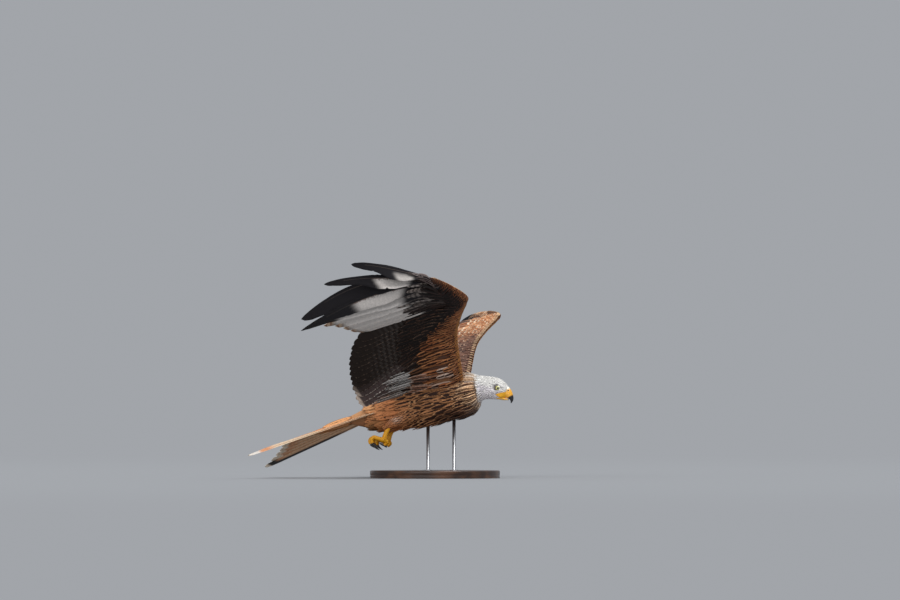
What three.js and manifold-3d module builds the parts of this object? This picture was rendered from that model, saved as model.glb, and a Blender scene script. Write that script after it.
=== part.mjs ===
// A red kite in level flight, life size, held over a round wooden base by two steel rods.
// Millimetres, +Z up. The bird heads along +X and the origin is the centre of the base's underside.
import * as THREE from 'three';
import { mergeVertices } from 'three/addons/utils/BufferGeometryUtils.js';
import Module from 'manifold-3d';

const wasm = await Module();
wasm.setup();

// Pose of the whole bird: nose up, heading a little towards the right side, left side low
const YAW = -9;
const NOSE_UP = 12;
const ROLL = -5.5;
const SHOULDER_HEIGHT = 228;
const SHOULDER_PLACE = [52, -4];
const GAP = 0.35;

// Display stand
const BASE_RADIUS = 150;
const BASE_THICK = 18;
const BASE_BEVEL = 3;
const ROD_RADIUS = 4;
const ROD_SINK = 14;
const RODS = { stand_rod_front: [44, -11], stand_rod_rear: [-16, -2] };

// Body in the bird's own frame: x forward, y left, z up, from the midpoint of the shoulders
const BODY_SIDES = 22;
const BODY_STATIONS = [
  // x, back, belly, half width
  [-262, -29, -52, 9], [-236, -21, -64, 15], [-206, -12, -76, 25], [-170, -2, -84, 36], [-130, 9, -87, 45],
  [-85, 17, -92.5, 50.5], [-40, 21, -92.5, 53], [-8, 20, -89, 50], [14, 16.5, -87, 46.5],
  [28, 12, -84, 41], [38, 6, -77, 33], [45, 0, -68, 24],
];
const TAIL_CUT = -168;
const NECK_CUT = 22;
const HEAD_CUT = -37;

// Head in its own frame, from the midpoint of the eyes, pitched down from the body
const EYES_AT = [90, 0, -40.8];
const HEAD_PITCH = 27;
const HEAD_SIDES = 20;
const HEAD_STATIONS = [
  [-80, 10, -56, 34], [-66, 16.5, -53, 36], [-50, 20.5, -46, 33], [-36, 22.5, -39, 28.5],
  [-22, 24.5, -32, 25], [-10, 25, -28.5, 23.2], [0, 23.2, -26, 21], [8, 20, -24.2, 18],
  [15, 16, -22, 13.6], [20, 12.5, -19, 9],
];
const EYE_RADIUS = 8.3;
const EYE_OUT = 13.6;
const LID_RADIUS = 7;
const LID_THICK = 1.3;
const LID_OUT = 19.3;
const LID_SCALE = [1.12, 1, 0.92];
const LID_TURN = -9;
const BROW = { radius: 6, at: [3, 15.6, 8.2], scale: [2.1, 0.75, 0.62], turn: 13 };
const CHEEK = { radius: 8, at: [6, 10.5, -14], scale: [1.5, 0.7, 0.8], turn: 10 };
const BOWL = { radius: 7, at: [0.8, 23.9, -0.4], scale: [1.25, 0.8, 1], turn: 0 };

// Bill sections: culmen x, z, cutting edge x, z, half width
const UPPER_BILL = [
  [12.5, 13.6, 4, -15.4, 8.4], [18, 12.4, 12, -15.6, 9], [25, 8.4, 20, -15.9, 8.2],
  [31, 1.6, 26, -16.2, 6.6], [36, -6.5, 30.4, -16.8, 4.8], [38.8, -13.5, 33.4, -18.2, 3],
  [38.8, -19, 35.8, -20.6, 1.7],
];
const UPPER_TIP = [37.4, -25];
const LOWER_BILL = [
  [3, -16.4, 3, -24.4, 10.4], [12, -16.6, 12, -23.6, 8.2], [20, -16.9, 20, -22.4, 6.6],
  [26, -17.2, 26, -20.8, 4.6], [29.6, -17.9, 29.6, -19.6, 2.6],
];
const LOWER_TIP = [31.2, -18.9];

// Left wing in the bird's own frame; the right one is its mirror image
const SHOULDER = [0, 35, 0];
const ELBOW = [0, 129.5, 82];
const WRIST = [91, 215, 156];
const HAND_TIP = [28, 293, 208];
// How far each hand is swung down about the wrist, and rolled about its own bones, in degrees
const HANDS = { wing_left: { drop: 17.6, roll: 16 }, wing_right: { drop: 0, roll: 0 } };
const WING_SECTIONS = [
  // leading edge, rear edge of the flesh, thickness
  [[18, 24, -12], [-92, 22, -22], 26], [[24, 55, 14], [-84, 58, 8], 22],
  [[40, 128, 85], [-48, 127, 78], 17], [[64, 172, 121], [-5, 170, 110], 14],
  [[89, 206, 146], [44, 203, 133], 13], [[93, 222, 158], [56, 212, 143], 12],
  [[66, 262, 186], [32, 246, 165], 10], [[34, 298, 208], [14, 281, 193], 6],
];
const WING_SIDES = 10;
const HAND_SECTIONS = 3;
const TERTIALS = 3;
const SECONDARIES = 12;
const SECONDARY_TIP_OUT = [50, 212];
const PRIMARIES = [
  // reach from the wrist, sweep out from straight back, lift, bow as a share of the length
  [266, 4, -6, 0.025], [278, 10.8, -5.6, 0.025], [296, 17.8, -4.4, 0.025], [322, 24.8, -3.4, 0.025],
  [364, 32, -3.2, 0.025], [436, 39.2, -4.2, 0.035], [480, 44.8, -4.8, 0.06], [490, 47.8, -2, 0.092],
  [443, 53.2, 6.7, 0.03], [378, 57, 13.7, 0.025],
];
const ARM_BOW = 0.02;
const ARCH = { arm: 0.035, hand: 0.015 };
const VANE_TILT = 10;
const VANE_THICK = 0.6;
const VANE_DROOP = 0.03;
// The tertials' roots run past the elbow towards the shoulder, so many times the secondaries' step
const TERTIAL_STEP = 2.2;
// Roots of the first and last primary, as shares of the way from wrist to hand tip
const HAND_ROOTS = [0.04, 0.96];

// Tail in the bird's own frame: each half lies in a plane of its own, its feathers in thin layers
const TAIL_ROOT = [-182, 0, -28];
const TAIL_LAYER = 0.95;
const TAIL_STEP = 3.4;
const TAIL_SLOPE = 9;
const TAIL_FALL = 7;
const TAIL_TWIST = -2.5;
const RECTRICES = [
  // length, splay
  [250, 0.9], [257, 4.2], [268, 7.2], [284, 10], [304, 12.8], [330, 15.6],
];

// Legs, left one
const THIGH = [
  [-82, 25, -54, 14], [-102, 27, -59, 20.5], [-126, 28, -62, 21], [-148, 27, -65, 16.5], [-166, 25.5, -70, 11],
  [-178, 25, -75, 7.6],
];
const TARSUS = [
  [-158, 25, -67, 6.2], [-172, 25.5, -76, 5.9], [-183, 26, -89, 5.5], [-191, 26, -103, 6.4],
  [-196, 26, -107, 5.4],
];

const vec = (p) => new THREE.Vector3(...p);
const rad = THREE.MathUtils.degToRad;
const UP = new THREE.Vector3(0, 0, 1);
const lerp = THREE.MathUtils.lerp;
const mix = (a, b, t) => a.clone().lerp(b, t);

// Small seeded random numbers, the same on every run
function seeded(seed) {
  let state = seed;
  return () => {
    state = (state * 1664525 + 1013904223) % 4294967296;
    return state / 4294967296;
  };
}

// A solid from points and triangles, turned so that its faces point outwards
function solid(points, triangles) {
  let volume = 0;
  for (const [a, b, c] of triangles) {
    volume += points[a].dot(new THREE.Vector3().crossVectors(points[b], points[c]));
  }
  const vertProperties = new Float32Array(points.flatMap((p) => p.toArray()));
  const triVerts = new Uint32Array(triangles.flatMap(([a, b, c]) => (volume > 0 ? [a, b, c] : [a, c, b])));
  return new wasm.Manifold(new wasm.Mesh({ numProp: 3, vertProperties, triVerts }));
}

function solidOf(geometry) {
  const bare = geometry.clone();
  bare.deleteAttribute('normal');
  bare.deleteAttribute('uv');
  const merged = mergeVertices(bare, 1e-4);
  const at = merged.attributes.position;
  const points = Array.from({ length: at.count }, (_, i) => new THREE.Vector3().fromBufferAttribute(at, i));
  const index = merged.index.array;
  const triangles = Array.from({ length: index.length / 3 }, (_, i) => [...index.subarray(3 * i, 3 * i + 3)]);
  return solid(points, triangles.filter(([a, b, c]) => a !== b && b !== c && c !== a));
}

// The one closed body that is kept of a join or a cut
function largest(body) {
  return body.decompose().reduce((best, piece) => (piece.volume() > best.volume() ? piece : best));
}

function geometryOf(body) {
  const mesh = largest(body).getMesh();
  const geometry = new THREE.BufferGeometry();
  geometry.setAttribute('position', new THREE.BufferAttribute(new Float32Array(mesh.vertProperties), 3));
  geometry.setIndex(new THREE.BufferAttribute(new Uint32Array(mesh.triVerts), 1));
  return geometry;
}

const join = (bodies) => bodies.reduce((all, body) => all.add(body));

// A skin over rings of points, closed at both ends by a point
function loft(rings, start, end) {
  const sides = rings[0].length;
  const points = [start, ...rings.flat(), end];
  const last = points.length - 1;
  const triangles = [];
  for (let k = 0; k < sides; k += 1) {
    const next = (k + 1) % sides;
    triangles.push([0, 1 + next, 1 + k]);
    for (let r = 0; r < rings.length - 1; r += 1) {
      const a = 1 + r * sides;
      const b = a + sides;
      triangles.push([a + k, a + next, b + next], [a + k, b + next, b + k]);
    }
    const a = 1 + (rings.length - 1) * sides;
    triangles.push([a + k, a + next, last]);
  }
  return solid(points, triangles);
}

const middle = (ring) => ring.reduce((sum, p) => sum.add(p), new THREE.Vector3()).divideScalar(ring.length);

// An oval across the body at x: widest a little above half way up, flatter over the back
function oval([x, top, bottom, half], sides, grow) {
  const waist = lerp(bottom, top, 0.54);
  return Array.from({ length: sides }, (_, k) => {
    const a = (k / sides) * 2 * Math.PI;
    const reach = Math.sin(a) > 0 ? top + grow - waist : waist - bottom + grow;
    return new THREE.Vector3(x, (half + grow) * Math.cos(a), waist + reach * Math.sin(a));
  });
}

function ovals(stations, sides, grow = 0) {
  const rings = stations.map((station) => oval(station, sides, grow));
  const start = middle(rings[0]).add(new THREE.Vector3(-3 - grow, 0, 0));
  const end = middle(rings.at(-1)).add(new THREE.Vector3(3 + grow, 0, 0));
  return loft(rings, start, end);
}

// A round limb along points that carry their own radius, its ends domed by a share of it
const LIMB_CAP = 0.5;
function limb(path, sides, grow = 0) {
  const points = path.map((p) => vec(p.slice(0, 3)));
  let across = new THREE.Vector3(0, 1, 0);
  const rings = points.map((p, i) => {
    const after = points[Math.min(i + 1, points.length - 1)];
    const along = after.clone().sub(points[Math.max(i - 1, 0)]).normalize();
    across = across.clone().addScaledVector(along, -across.dot(along)).normalize();
    const over = new THREE.Vector3().crossVectors(along, across);
    const radius = path[i][3] + grow;
    return Array.from({ length: sides }, (_, k) => {
      const a = (k / sides) * 2 * Math.PI;
      return p.clone().addScaledVector(across, radius * Math.cos(a))
        .addScaledVector(over, radius * Math.sin(a));
    });
  });
  const cap = (i, j) => {
    const outward = points[i].clone().sub(points[j]).normalize();
    return points[i].clone().addScaledVector(outward, (path[i][3] + grow) * LIMB_CAP);
  };
  const n = points.length - 1;
  return loft(rings, cap(0, 1), cap(n, n - 1));
}

// A side direction tilted so that a vane's outer edge stands above its neighbour
function tilted(side, up, degrees) {
  return side.clone().multiplyScalar(Math.cos(rad(degrees))).addScaledVector(up, Math.sin(rad(degrees)));
}

// One feather: a thin vane along a bowed, arched shaft, its side turning from root to tip.
// Faces above and below are split alike.
function vane({ root, tip, sides, up, stations, bow = 0, arch = 0, thick = 0.6, droop = 0 }) {
  const span = tip.clone().sub(root);
  const length = span.length();
  const along = span.clone().normalize();
  const points = [];
  for (const [t, lead, trail] of stations) {
    const side = mix(sides[0], sides[1], t);
    const across = side.addScaledVector(along, -side.dot(along)).normalize();
    const over = new THREE.Vector3().crossVectors(across, along);
    if (over.dot(up) < 0) over.negate();
    const lift = 4 * t * (1 - t) * length;
    const at = root.clone().addScaledVector(span, t)
      .addScaledVector(across, bow * lift).addScaledVector(over, arch * lift);
    const half = lerp(thick, thick * 0.85, t) / 2;
    for (const out of [lead, -trail]) {
      const p = at.clone().addScaledVector(across, out).addScaledVector(over, -droop * Math.abs(out));
      points.push(p.clone().addScaledVector(over, half), p.clone().addScaledVector(over, -half));
    }
  }
  const triangles = [];
  const quad = (a, b, c, d) => triangles.push([a, b, c], [a, c, d]);
  const end = 4 * (stations.length - 1);
  for (let a = 0; a < end; a += 4) {
    const b = a + 4;
    quad(a, b, b + 2, a + 2);
    triangles.push([a + 1, b + 3, b + 1], [a + 1, a + 3, b + 3]);
    quad(a, a + 1, b + 1, b);
    quad(a + 2, b + 2, b + 3, a + 3);
  }
  quad(0, 2, 3, 1);
  quad(end, end + 1, end + 3, end + 2);
  return solid(points, triangles);
}

// Head: skull and neck in one skin, with brows, lids, eye sockets and a pocket for the bill
const headPlace = new THREE.Matrix4().makeRotationY(rad(HEAD_PITCH)).setPosition(...EYES_AT);
const placed = (body, matrix) => body.transform(matrix.toArray());

function billSection([topX, topZ, lowX, lowZ, half], grow) {
  const top = new THREE.Vector3(topX, 0, topZ);
  const low = new THREE.Vector3(lowX, 0, lowZ);
  const centre = mix(top, low, 0.5);
  const rise = top.clone().sub(centre);
  const tall = 1 + grow / rise.length();
  return Array.from({ length: 12 }, (_, k) => {
    const a = (k / 12) * 2 * Math.PI;
    const p = centre.clone().addScaledVector(rise, tall * Math.sin(a));
    p.y = (half + grow) * Math.cos(a) * (1 - 0.12 * Math.sin(a));
    return p;
  });
}

function bill(sections, [tipX, tipZ], grow = 0) {
  const rings = sections.map((section) => billSection(section, grow));
  const start = middle(rings[0]).add(new THREE.Vector3(-0.5 - grow, 0, 0));
  return loft(rings, start, new THREE.Vector3(tipX, 0, tipZ - grow));
}

function ball(radius, x, y, z, scale = [1, 1, 1], turn = 0, sides = 10) {
  const shape = new THREE.SphereGeometry(radius, sides, Math.round(sides * 0.6));
  shape.scale(...scale).rotateY(turn).translate(x, y, z);
  return solidOf(shape);
}

const upperBill = bill(UPPER_BILL, UPPER_TIP);
const lowerBill = bill(LOWER_BILL, LOWER_TIP);
const NOSTRIL = { radius: 1.5, at: [25.4, 7.6, 1.6], scale: [1, 1.6, 1.9], turn: 25 };
const nostrils = [1, -1].map((side) => {
  const [x, y, z] = NOSTRIL.at;
  return ball(NOSTRIL.radius, x, side * y, z, NOSTRIL.scale, rad(NOSTRIL.turn));
});

const EYE_SIDES = 16;
const eyeball = (side, radius) => ball(radius, 0, side * EYE_OUT, 0, [1, 1, 1], 0, EYE_SIDES);

function headSolid() {
  let head = ovals(HEAD_STATIONS, HEAD_SIDES);
  for (const side of [1, -1]) {
    const [brow, cheek, bowl] = [BROW, CHEEK, BOWL].map(({ radius, at: [x, y, z], scale, turn }) =>
      ball(radius, x, side * y, z, scale, rad(turn)));
    const lid = new THREE.TorusGeometry(LID_RADIUS, LID_THICK, 6, 18);
    lid.rotateX(Math.PI / 2).scale(...LID_SCALE).rotateZ(side * rad(LID_TURN));
    lid.translate(0.4, side * LID_OUT, -0.2);
    head = head.add(brow).add(cheek).subtract(bowl).add(solidOf(lid));
    head = head.subtract(eyeball(side, EYE_RADIUS + GAP));
  }
  const pockets = [bill(UPPER_BILL, UPPER_TIP, GAP), bill(LOWER_BILL, LOWER_TIP, GAP)];
  for (const pocket of pockets) head = head.subtract(pocket);
  return largest(head);
}

// Flesh of head, neck and torso, parted by flat cuts
const flesh = ovals(BODY_STATIONS, BODY_SIDES);
const inflatedFlesh = ovals(BODY_STATIONS, BODY_SIDES, GAP);

function slab(from, to, matrix) {
  const box = new THREE.BoxGeometry(to - from, 400, 400).translate((from + to) / 2, 0, 0);
  return placed(solidOf(box), matrix);
}

const bodyPlace = new THREE.Matrix4();
const skull = placed(headSolid(), headPlace);
const headPart = skull.intersect(slab(HEAD_CUT + GAP, 300, headPlace));
const neckFlesh = flesh.add(skull).subtract(slab(HEAD_CUT, 300, headPlace));
const neckPart = neckFlesh.intersect(slab(NECK_CUT + GAP, 300, bodyPlace));
const torsoPart = flesh.add(skull).intersect(slab(TAIL_CUT, NECK_CUT, bodyPlace));

// Wing: the flesh of arm and hand, then flight feathers and their coverts rooted in it
function airfoil([leading, rear, thick], before, after) {
  const lead = vec(leading);
  const back = vec(rear);
  const chord = back.clone().sub(lead);
  const spanwise = vec(after[0]).sub(vec(before[0]));
  const over = new THREE.Vector3().crossVectors(spanwise, chord).normalize();
  return Array.from({ length: WING_SIDES }, (_, k) => {
    const a = (k / WING_SIDES) * 2 * Math.PI;
    const c = (1 - Math.cos(a)) / 2;
    const half = (thick / 2) * Math.sin(a) * (1.25 - 0.75 * c);
    return lead.clone().addScaledVector(chord, c).addScaledVector(over, half * (a > Math.PI ? 0.85 : 1));
  });
}

// A point of the hand, swung down about the wrist and rolled about the hand's own bones
function swung(point, { drop, roll }) {
  const down = (p) => vec(p).sub(vec(WRIST)).applyAxisAngle(new THREE.Vector3(1, 0, 0), rad(-drop));
  const bones = down(HAND_TIP).normalize();
  return down(point).applyAxisAngle(bones, rad(-roll)).add(vec(WRIST));
}

function wingFlesh(hand) {
  const onHand = WING_SECTIONS.length - HAND_SECTIONS;
  const sections = WING_SECTIONS.map(([lead, rear, thick], i) => {
    if (i < onHand) return [lead, rear, thick];
    return [swung(lead, hand).toArray(), swung(rear, hand).toArray(), thick];
  });
  const last = sections.length - 1;
  const rings = sections.map((section, i) =>
    airfoil(section, sections[Math.max(i - 1, 0)], sections[Math.min(i + 1, last)]));
  const end = middle(rings[last]);
  const outward = end.clone().sub(middle(rings[last - 1])).normalize();
  return loft(rings, middle(rings[0]), end.clone().addScaledVector(outward, 3));
}

// The inner primaries stay broad, the next narrow late, and the outermost two are notched to fingers
const HAND_KINDS = [...Array(5).fill('primary'), 'long', 'long', 'full', 'finger', 'finger'];

// The line of the arm feathers' tips, straight near the body and swept forward towards the wrist
const ARM_TIPS = { back: -230, swept: 67, from: 79, over: 137, power: 2.6, rise: 0.8667, drop: -55.3 };

// Shafts of the flight feathers from the body outwards, with the sheet's upward direction at root and tip
function flightFeathers(hand) {
  const feathers = [];
  const tipAt = (out) => {
    const sweep = Math.max(0, (out - ARM_TIPS.from) / ARM_TIPS.over) ** ARM_TIPS.power;
    const back = ARM_TIPS.back + ARM_TIPS.swept * sweep;
    return new THREE.Vector3(back, out, ARM_TIPS.rise * out + ARM_TIPS.drop);
  };
  const inner = TERTIALS + SECONDARIES;
  for (let j = 0; j < inner; j += 1) {
    const tip = tipAt(lerp(...SECONDARY_TIP_OUT, j / (inner - 1)));
    const onArm = (j - TERTIALS + 0.5) / SECONDARIES;
    const root = onArm > 0
      ? mix(vec(ELBOW), vec(WRIST), onArm) : mix(vec(ELBOW), vec(SHOULDER), -onArm * TERTIAL_STEP);
    feathers.push({ root, tip, bow: ARM_BOW, part: 'arm', kind: 'secondary' });
  }
  PRIMARIES.forEach(([reach, sweep, lift, bow], i) => {
    const root = mix(vec(WRIST), vec(HAND_TIP), lerp(...HAND_ROOTS, i / (PRIMARIES.length - 1)));
    const flat = reach * Math.cos(rad(lift));
    const tip = new THREE.Vector3(
      -flat * Math.cos(rad(sweep)), flat * Math.sin(rad(sweep)), reach * Math.sin(rad(lift))).add(vec(WRIST));
    feathers.push({
      root: swung(root.toArray(), hand), tip: swung(tip.toArray(), hand),
      bow, part: 'hand', kind: HAND_KINDS[i],
    });
  });
  feathers.forEach((feather, j) => {
    const before = feathers[Math.max(j - 1, 0)];
    const after = feathers[Math.min(j + 1, feathers.length - 1)];
    const along = feather.tip.clone().sub(feather.root).normalize();
    feather.length = feather.tip.distanceTo(feather.root);
    const upFor = (outward) => new THREE.Vector3().crossVectors(outward, along).normalize();
    feather.ups = [upFor(after.root.clone().sub(before.root)), upFor(after.tip.clone().sub(before.tip))];
    feather.across = feather.ups.map((up) => new THREE.Vector3().crossVectors(along, up));
  });
  return feathers;
}

const WEBS = {
  // stations: place along the shaft, leading web, trailing web
  secondary: [[0, 1.5, 2.5], [0.24, 7, 12], [0.82, 9, 19], [1, 3.5, 5]],
  primary: [[0, 1.5, 2.5], [0.2, 6, 13], [0.6, 8, 27], [0.88, 8, 23], [1, 2.5, 5]],
  long: [[0, 1.5, 2.5], [0.18, 6, 13], [0.66, 9, 27], [0.82, 11, 17], [0.93, 9, 9], [1, 1.2, 1.6]],
  full: [[0, 1.5, 2.5], [0.18, 6, 13], [0.66, 8, 29], [0.82, 6.8, 27], [0.93, 5.2, 18], [1, 1.2, 3]],
  finger: [[0, 1.5, 2.5], [0.16, 6, 12], [0.52, 8, 26], [0.68, 6.2, 14], [0.86, 5.5, 10.5], [1, 1, 1.6]],
};

function flightVane(feather) {
  return vane({
    root: feather.root, tip: feather.tip, up: mix(...feather.ups, 0.5),
    sides: feather.across.map((side, i) => tilted(side, feather.ups[i], VANE_TILT)),
    stations: WEBS[feather.kind], bow: feather.bow, arch: ARCH[feather.part], thick: VANE_THICK,
    droop: VANE_DROOP,
  });
}

// A point on the arched sheet of flight feathers, between two shafts, at a share of their length
// and a height over it
function onSheet(flight, place, share, height) {
  const j = Math.min(Math.floor(place), flight.length - 2);
  const points = [flight[j], flight[j + 1]].map((feather) => {
    const lift = 4 * share * (1 - share) * feather.length;
    const up = mix(...feather.ups, share).normalize();
    const across = mix(...feather.across, share).normalize();
    const at = mix(feather.root, feather.tip, share);
    at.addScaledVector(across, feather.bow * lift).addScaledVector(up, ARCH[feather.part] * lift);
    return { at, up, across };
  });
  const [a, b] = points;
  const between = place - j;
  const up = mix(a.up, b.up, between).normalize();
  return {
    at: mix(a.at, b.at, between).addScaledVector(up, height), up, across: mix(a.across, b.across, between),
  };
}

// Rows of coverts: face, first and last feather, count, share of the length at the root, and at the tip
// on arm and hand, heights over the sheet at root and tip, half width and outline
const LONG_ROW = { from: 1, to: 23.2, root: 0.03, webs: 'long' };
const SHORT_ROW = { from: 1.4, to: 21.4, root: 0.01, webs: 'short' };
const TIERS = [
  { face: 1, ...LONG_ROW, count: 13, tips: [0.5, 0.36], heights: [1.6, 5.8], half: 15 },
  { face: 1, ...SHORT_ROW, count: 9, tips: [0.28, 0.2], heights: [1.2, 10], half: 17.5 },
  { face: -1, ...LONG_ROW, count: 13, tips: [0.46, 0.34], heights: [2.4, 7], half: 15 },
  { face: -1, ...SHORT_ROW, count: 8, tips: [0.25, 0.18], heights: [3, 11], half: 18 },
];
const COVERT_WEBS = {
  long: [[0, 0.3], [0.45, 1], [0.85, 0.8], [1, 0.3]], short: [[0, 0.35], [0.6, 1], [1, 0.45]],
};
const HAND_NARROWER = 0.72;
// Feathers over which the arm's rows pass into the hand's, before and after the first primary
const WRIST_SPREAD = 2;
// Lengths vary from feather to feather between these shares
const VARIED = [0.97, 1.03];

function covertTier(flight, { face, from, to, count, root, tips, heights, half, webs }, random) {
  const firstPrimary = TERTIALS + SECONDARIES;
  return Array.from({ length: count }, (_, i) => {
    const place = lerp(from, to, i / (count - 1));
    const pastWrist = (place - firstPrimary) / WRIST_SPREAD;
    const onHand = THREE.MathUtils.smoothstep(pastWrist, -1, 1);
    const share = lerp(...tips, onHand) * lerp(...VARIED, random());
    const base = onSheet(flight, place, root, face * heights[0]);
    const end = onSheet(flight, place, share, face * heights[1]);
    const width = half * lerp(1, HAND_NARROWER, onHand);
    return vane({
      root: base.at, tip: end.at, up: base.up, thick: VANE_THICK, droop: 0,
      sides: [base, end].map(({ across, up }) => tilted(across, up, VANE_TILT)),
      arch: lerp(ARCH.arm, ARCH.hand, onHand) * (share - root),
      stations: COVERT_WEBS[webs].map(([t, w]) => [t, w * width, w * width]),
    });
  });
}

function wingSolid(hand) {
  const random = seeded(7);
  const flight = flightFeathers(hand);
  let wing = wingFlesh(hand).add(join(flight.map(flightVane)));
  for (const tier of TIERS) wing = wing.add(join(covertTier(flight, tier, random)));
  return wing;
}

const wingParts = {
  wing_left: wingSolid(HANDS.wing_left).subtract(inflatedFlesh),
  wing_right: wingSolid(HANDS.wing_right).mirror([0, 1, 0]).subtract(inflatedFlesh),
};

// Tail: six pairs of feathers in a shallow fan with a deep fork, rooted in the rump
const RECTRIX_WEBS = [[0, 0.25], [0.14, 0.62], [0.5, 0.92], [0.9, 1], [1, 0.25]];
// Half widths of the inner and outer web; the middle pair's inner web differs from left to right
const RECTRIX_INNER = { root: 4, tip: 18, middleLeft: 11, middleRight: 7.4 };
const RECTRIX_OUTER = { tip: 15, outermost: 9 };
const RECTRIX_THICK = 0.55;
const FIRST_OUT = 4.5;
// Seven tail coverts above and seven below: reach, height over the shafts at root and tip
const TAIL_COVERTS = [
  { face: 1, reach: 128, rise: 5, clear: 5 }, { face: -1, reach: 116, rise: -22, clear: -30 },
];
// How they lie: set in before the tail's root, spaced and splayed sideways, falling with the tail,
// shorter and lower towards the sides, rolled with the rump, and their half width
const TAIL_COVERT = {
  pairs: 3, before: 14, space: 4.5, splay: 5, fall: 0.125, shorter: 0.06, rootLower: 1.2, tipLower: 1.4,
  roll: 9, half: 8,
};

function rectrix([length, splay], pair, side) {
  const out = new THREE.Vector3(0, side * Math.cos(rad(TAIL_SLOPE)), -Math.sin(rad(TAIL_SLOPE)));
  const back = new THREE.Vector3(-Math.cos(rad(TAIL_FALL)), 0, -Math.sin(rad(TAIL_FALL)));
  const up = new THREE.Vector3().crossVectors(back, out).multiplyScalar(-side).normalize();
  const layer = TAIL_LAYER * (pair + (side > 0 ? 0 : 1));
  const root = vec(TAIL_ROOT).addScaledVector(out, FIRST_OUT + TAIL_STEP * pair).addScaledVector(up, -layer);
  const tip = root.clone().addScaledVector(back, length * Math.cos(rad(splay)))
    .addScaledVector(out, length * Math.sin(rad(splay)));
  const innerMiddle = side > 0 ? RECTRIX_INNER.middleLeft : RECTRIX_INNER.middleRight;
  const inner = pair === 0 ? innerMiddle : RECTRIX_INNER.tip;
  const outer = pair === RECTRICES.length - 1 ? RECTRIX_OUTER.outermost : RECTRIX_OUTER.tip;
  return vane({
    root, tip, sides: [out, out], up, thick: RECTRIX_THICK, droop: 0,
    stations: RECTRIX_WEBS.map(([t, w]) => [t, outer * w, lerp(RECTRIX_INNER.root, inner, t) * w]),
  });
}

function tailCovert({ face, reach, rise, clear }, out, random) {
  const lay = TAIL_COVERT;
  const spread = Math.abs(out);
  const length = reach * (1 - lay.shorter * spread) * lerp(...VARIED, random());
  const above = rise - spread * lay.rootLower;
  const root = vec(TAIL_ROOT).add(new THREE.Vector3(-lay.before, out * lay.space, above));
  const sink = clear - rise - length * lay.fall - spread * lay.tipLower;
  const tip = root.clone().add(new THREE.Vector3(-length, out * lay.splay, sink));
  const roll = rad(-lay.roll * Math.sign(out) * face);
  const side = new THREE.Vector3(0, 1, 0).applyAxisAngle(new THREE.Vector3(1, 0, 0), roll);
  return vane({
    root, tip, sides: [side, side], up: UP, thick: VANE_THICK, droop: 0,
    stations: COVERT_WEBS.long.map(([t, w]) => [t, lay.half * w, lay.half * w]),
  });
}

function tailSolid() {
  const random = seeded(11);
  const feathers = [];
  for (const side of [1, -1]) {
    RECTRICES.forEach((feather, pair) => feathers.push(rectrix(feather, pair, side)));
  }
  for (const tier of TAIL_COVERTS) {
    for (let out = -TAIL_COVERT.pairs; out <= TAIL_COVERT.pairs; out += 1) {
      feathers.push(tailCovert(tier, out, random));
    }
  }
  const [x, y, z] = TAIL_ROOT;
  const twist = new THREE.Matrix4().makeTranslation(x, y, z)
    .multiply(new THREE.Matrix4().makeRotationX(rad(TAIL_TWIST)))
    .multiply(new THREE.Matrix4().makeTranslation(-x, -y, -z));
  const rump = flesh.intersect(slab(-400, TAIL_CUT - GAP, bodyPlace));
  return rump.add(placed(join(feathers), twist)).subtract(slab(TAIL_CUT - GAP, 400, bodyPlace));
}

// Legs: feathered thighs against the belly, bare feet clenched under the tail, black claws
const TOES = [
  // toe base sideways, curl size, toe radius: outer, middle and inner front toes, then the hind toe
  { aside: 9, out: 10, curl: 13, radius: 4.7, back: -1 },
  { aside: 0, out: 0, curl: 16, radius: 5, back: -1 },
  { aside: -8, out: -9, curl: 12.5, radius: 4.8, back: -1 },
  { aside: 0, out: -1, curl: 9, radius: 4.8, back: 1 },
];
const TOE_BASE = [-193, 26, -105];
const TOE_SIDES = 6;
const CLAW_SIDES = 5;

// Paths of a toe from its base, as steps back, sideways share and up, and share of its radius
const FRONT_TOE = [
  { back: 0, aside: 0.4, out: 0, up: 0, size: 1.22 }, { back: 9, aside: 1, out: 0, up: 5, size: 1 },
  { back: 19, aside: 0, out: 1, up: 10, size: 0.95 }, { back: 25, aside: 0, out: 1, up: 5.5, size: 0.92 },
  { back: 25, aside: 0, out: 0.9, up: -2.5, size: 0.8 },
];
const HIND_TOE = [
  { step: [1, 0, 0], size: 1.2 }, { step: [6, -4, -5], size: 1 }, { step: [-1, -5, -10.5], size: 0.85 },
];
const MIDDLE_CURL = 13;

function toePath({ aside, out, curl, radius, back }) {
  const [x, y, z] = TOE_BASE;
  if (back > 0) {
    return HIND_TOE.map(({ step: [dx, dy, dz], size }, i) => [
      x + dx, y + dy + (i > 0 ? out : 0), z + dz, radius * size,
    ]);
  }
  const s = curl / MIDDLE_CURL;
  return FRONT_TOE.map((p) => [x - p.back * s, y + aside * p.aside + out * p.out, z + p.up, radius * p.size]);
}

// Claws start along one direction and bend towards another, a step at a time
const CLAW_STEP = 4.2;
const CLAW_BEND = 0.2;
const CLAW_STATIONS = [[0.35, 0.64], [1, 0.55], [1.8, 0.37], [2.6, 0.14]];
const FRONT_CLAW = { along: [0.35, -0.1, -1], bend: [1, 0, -0.35] };
const HIND_CLAW = { along: [-1, 0, 0.25], bend: [-0.4, 0, 0.9] };

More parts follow.
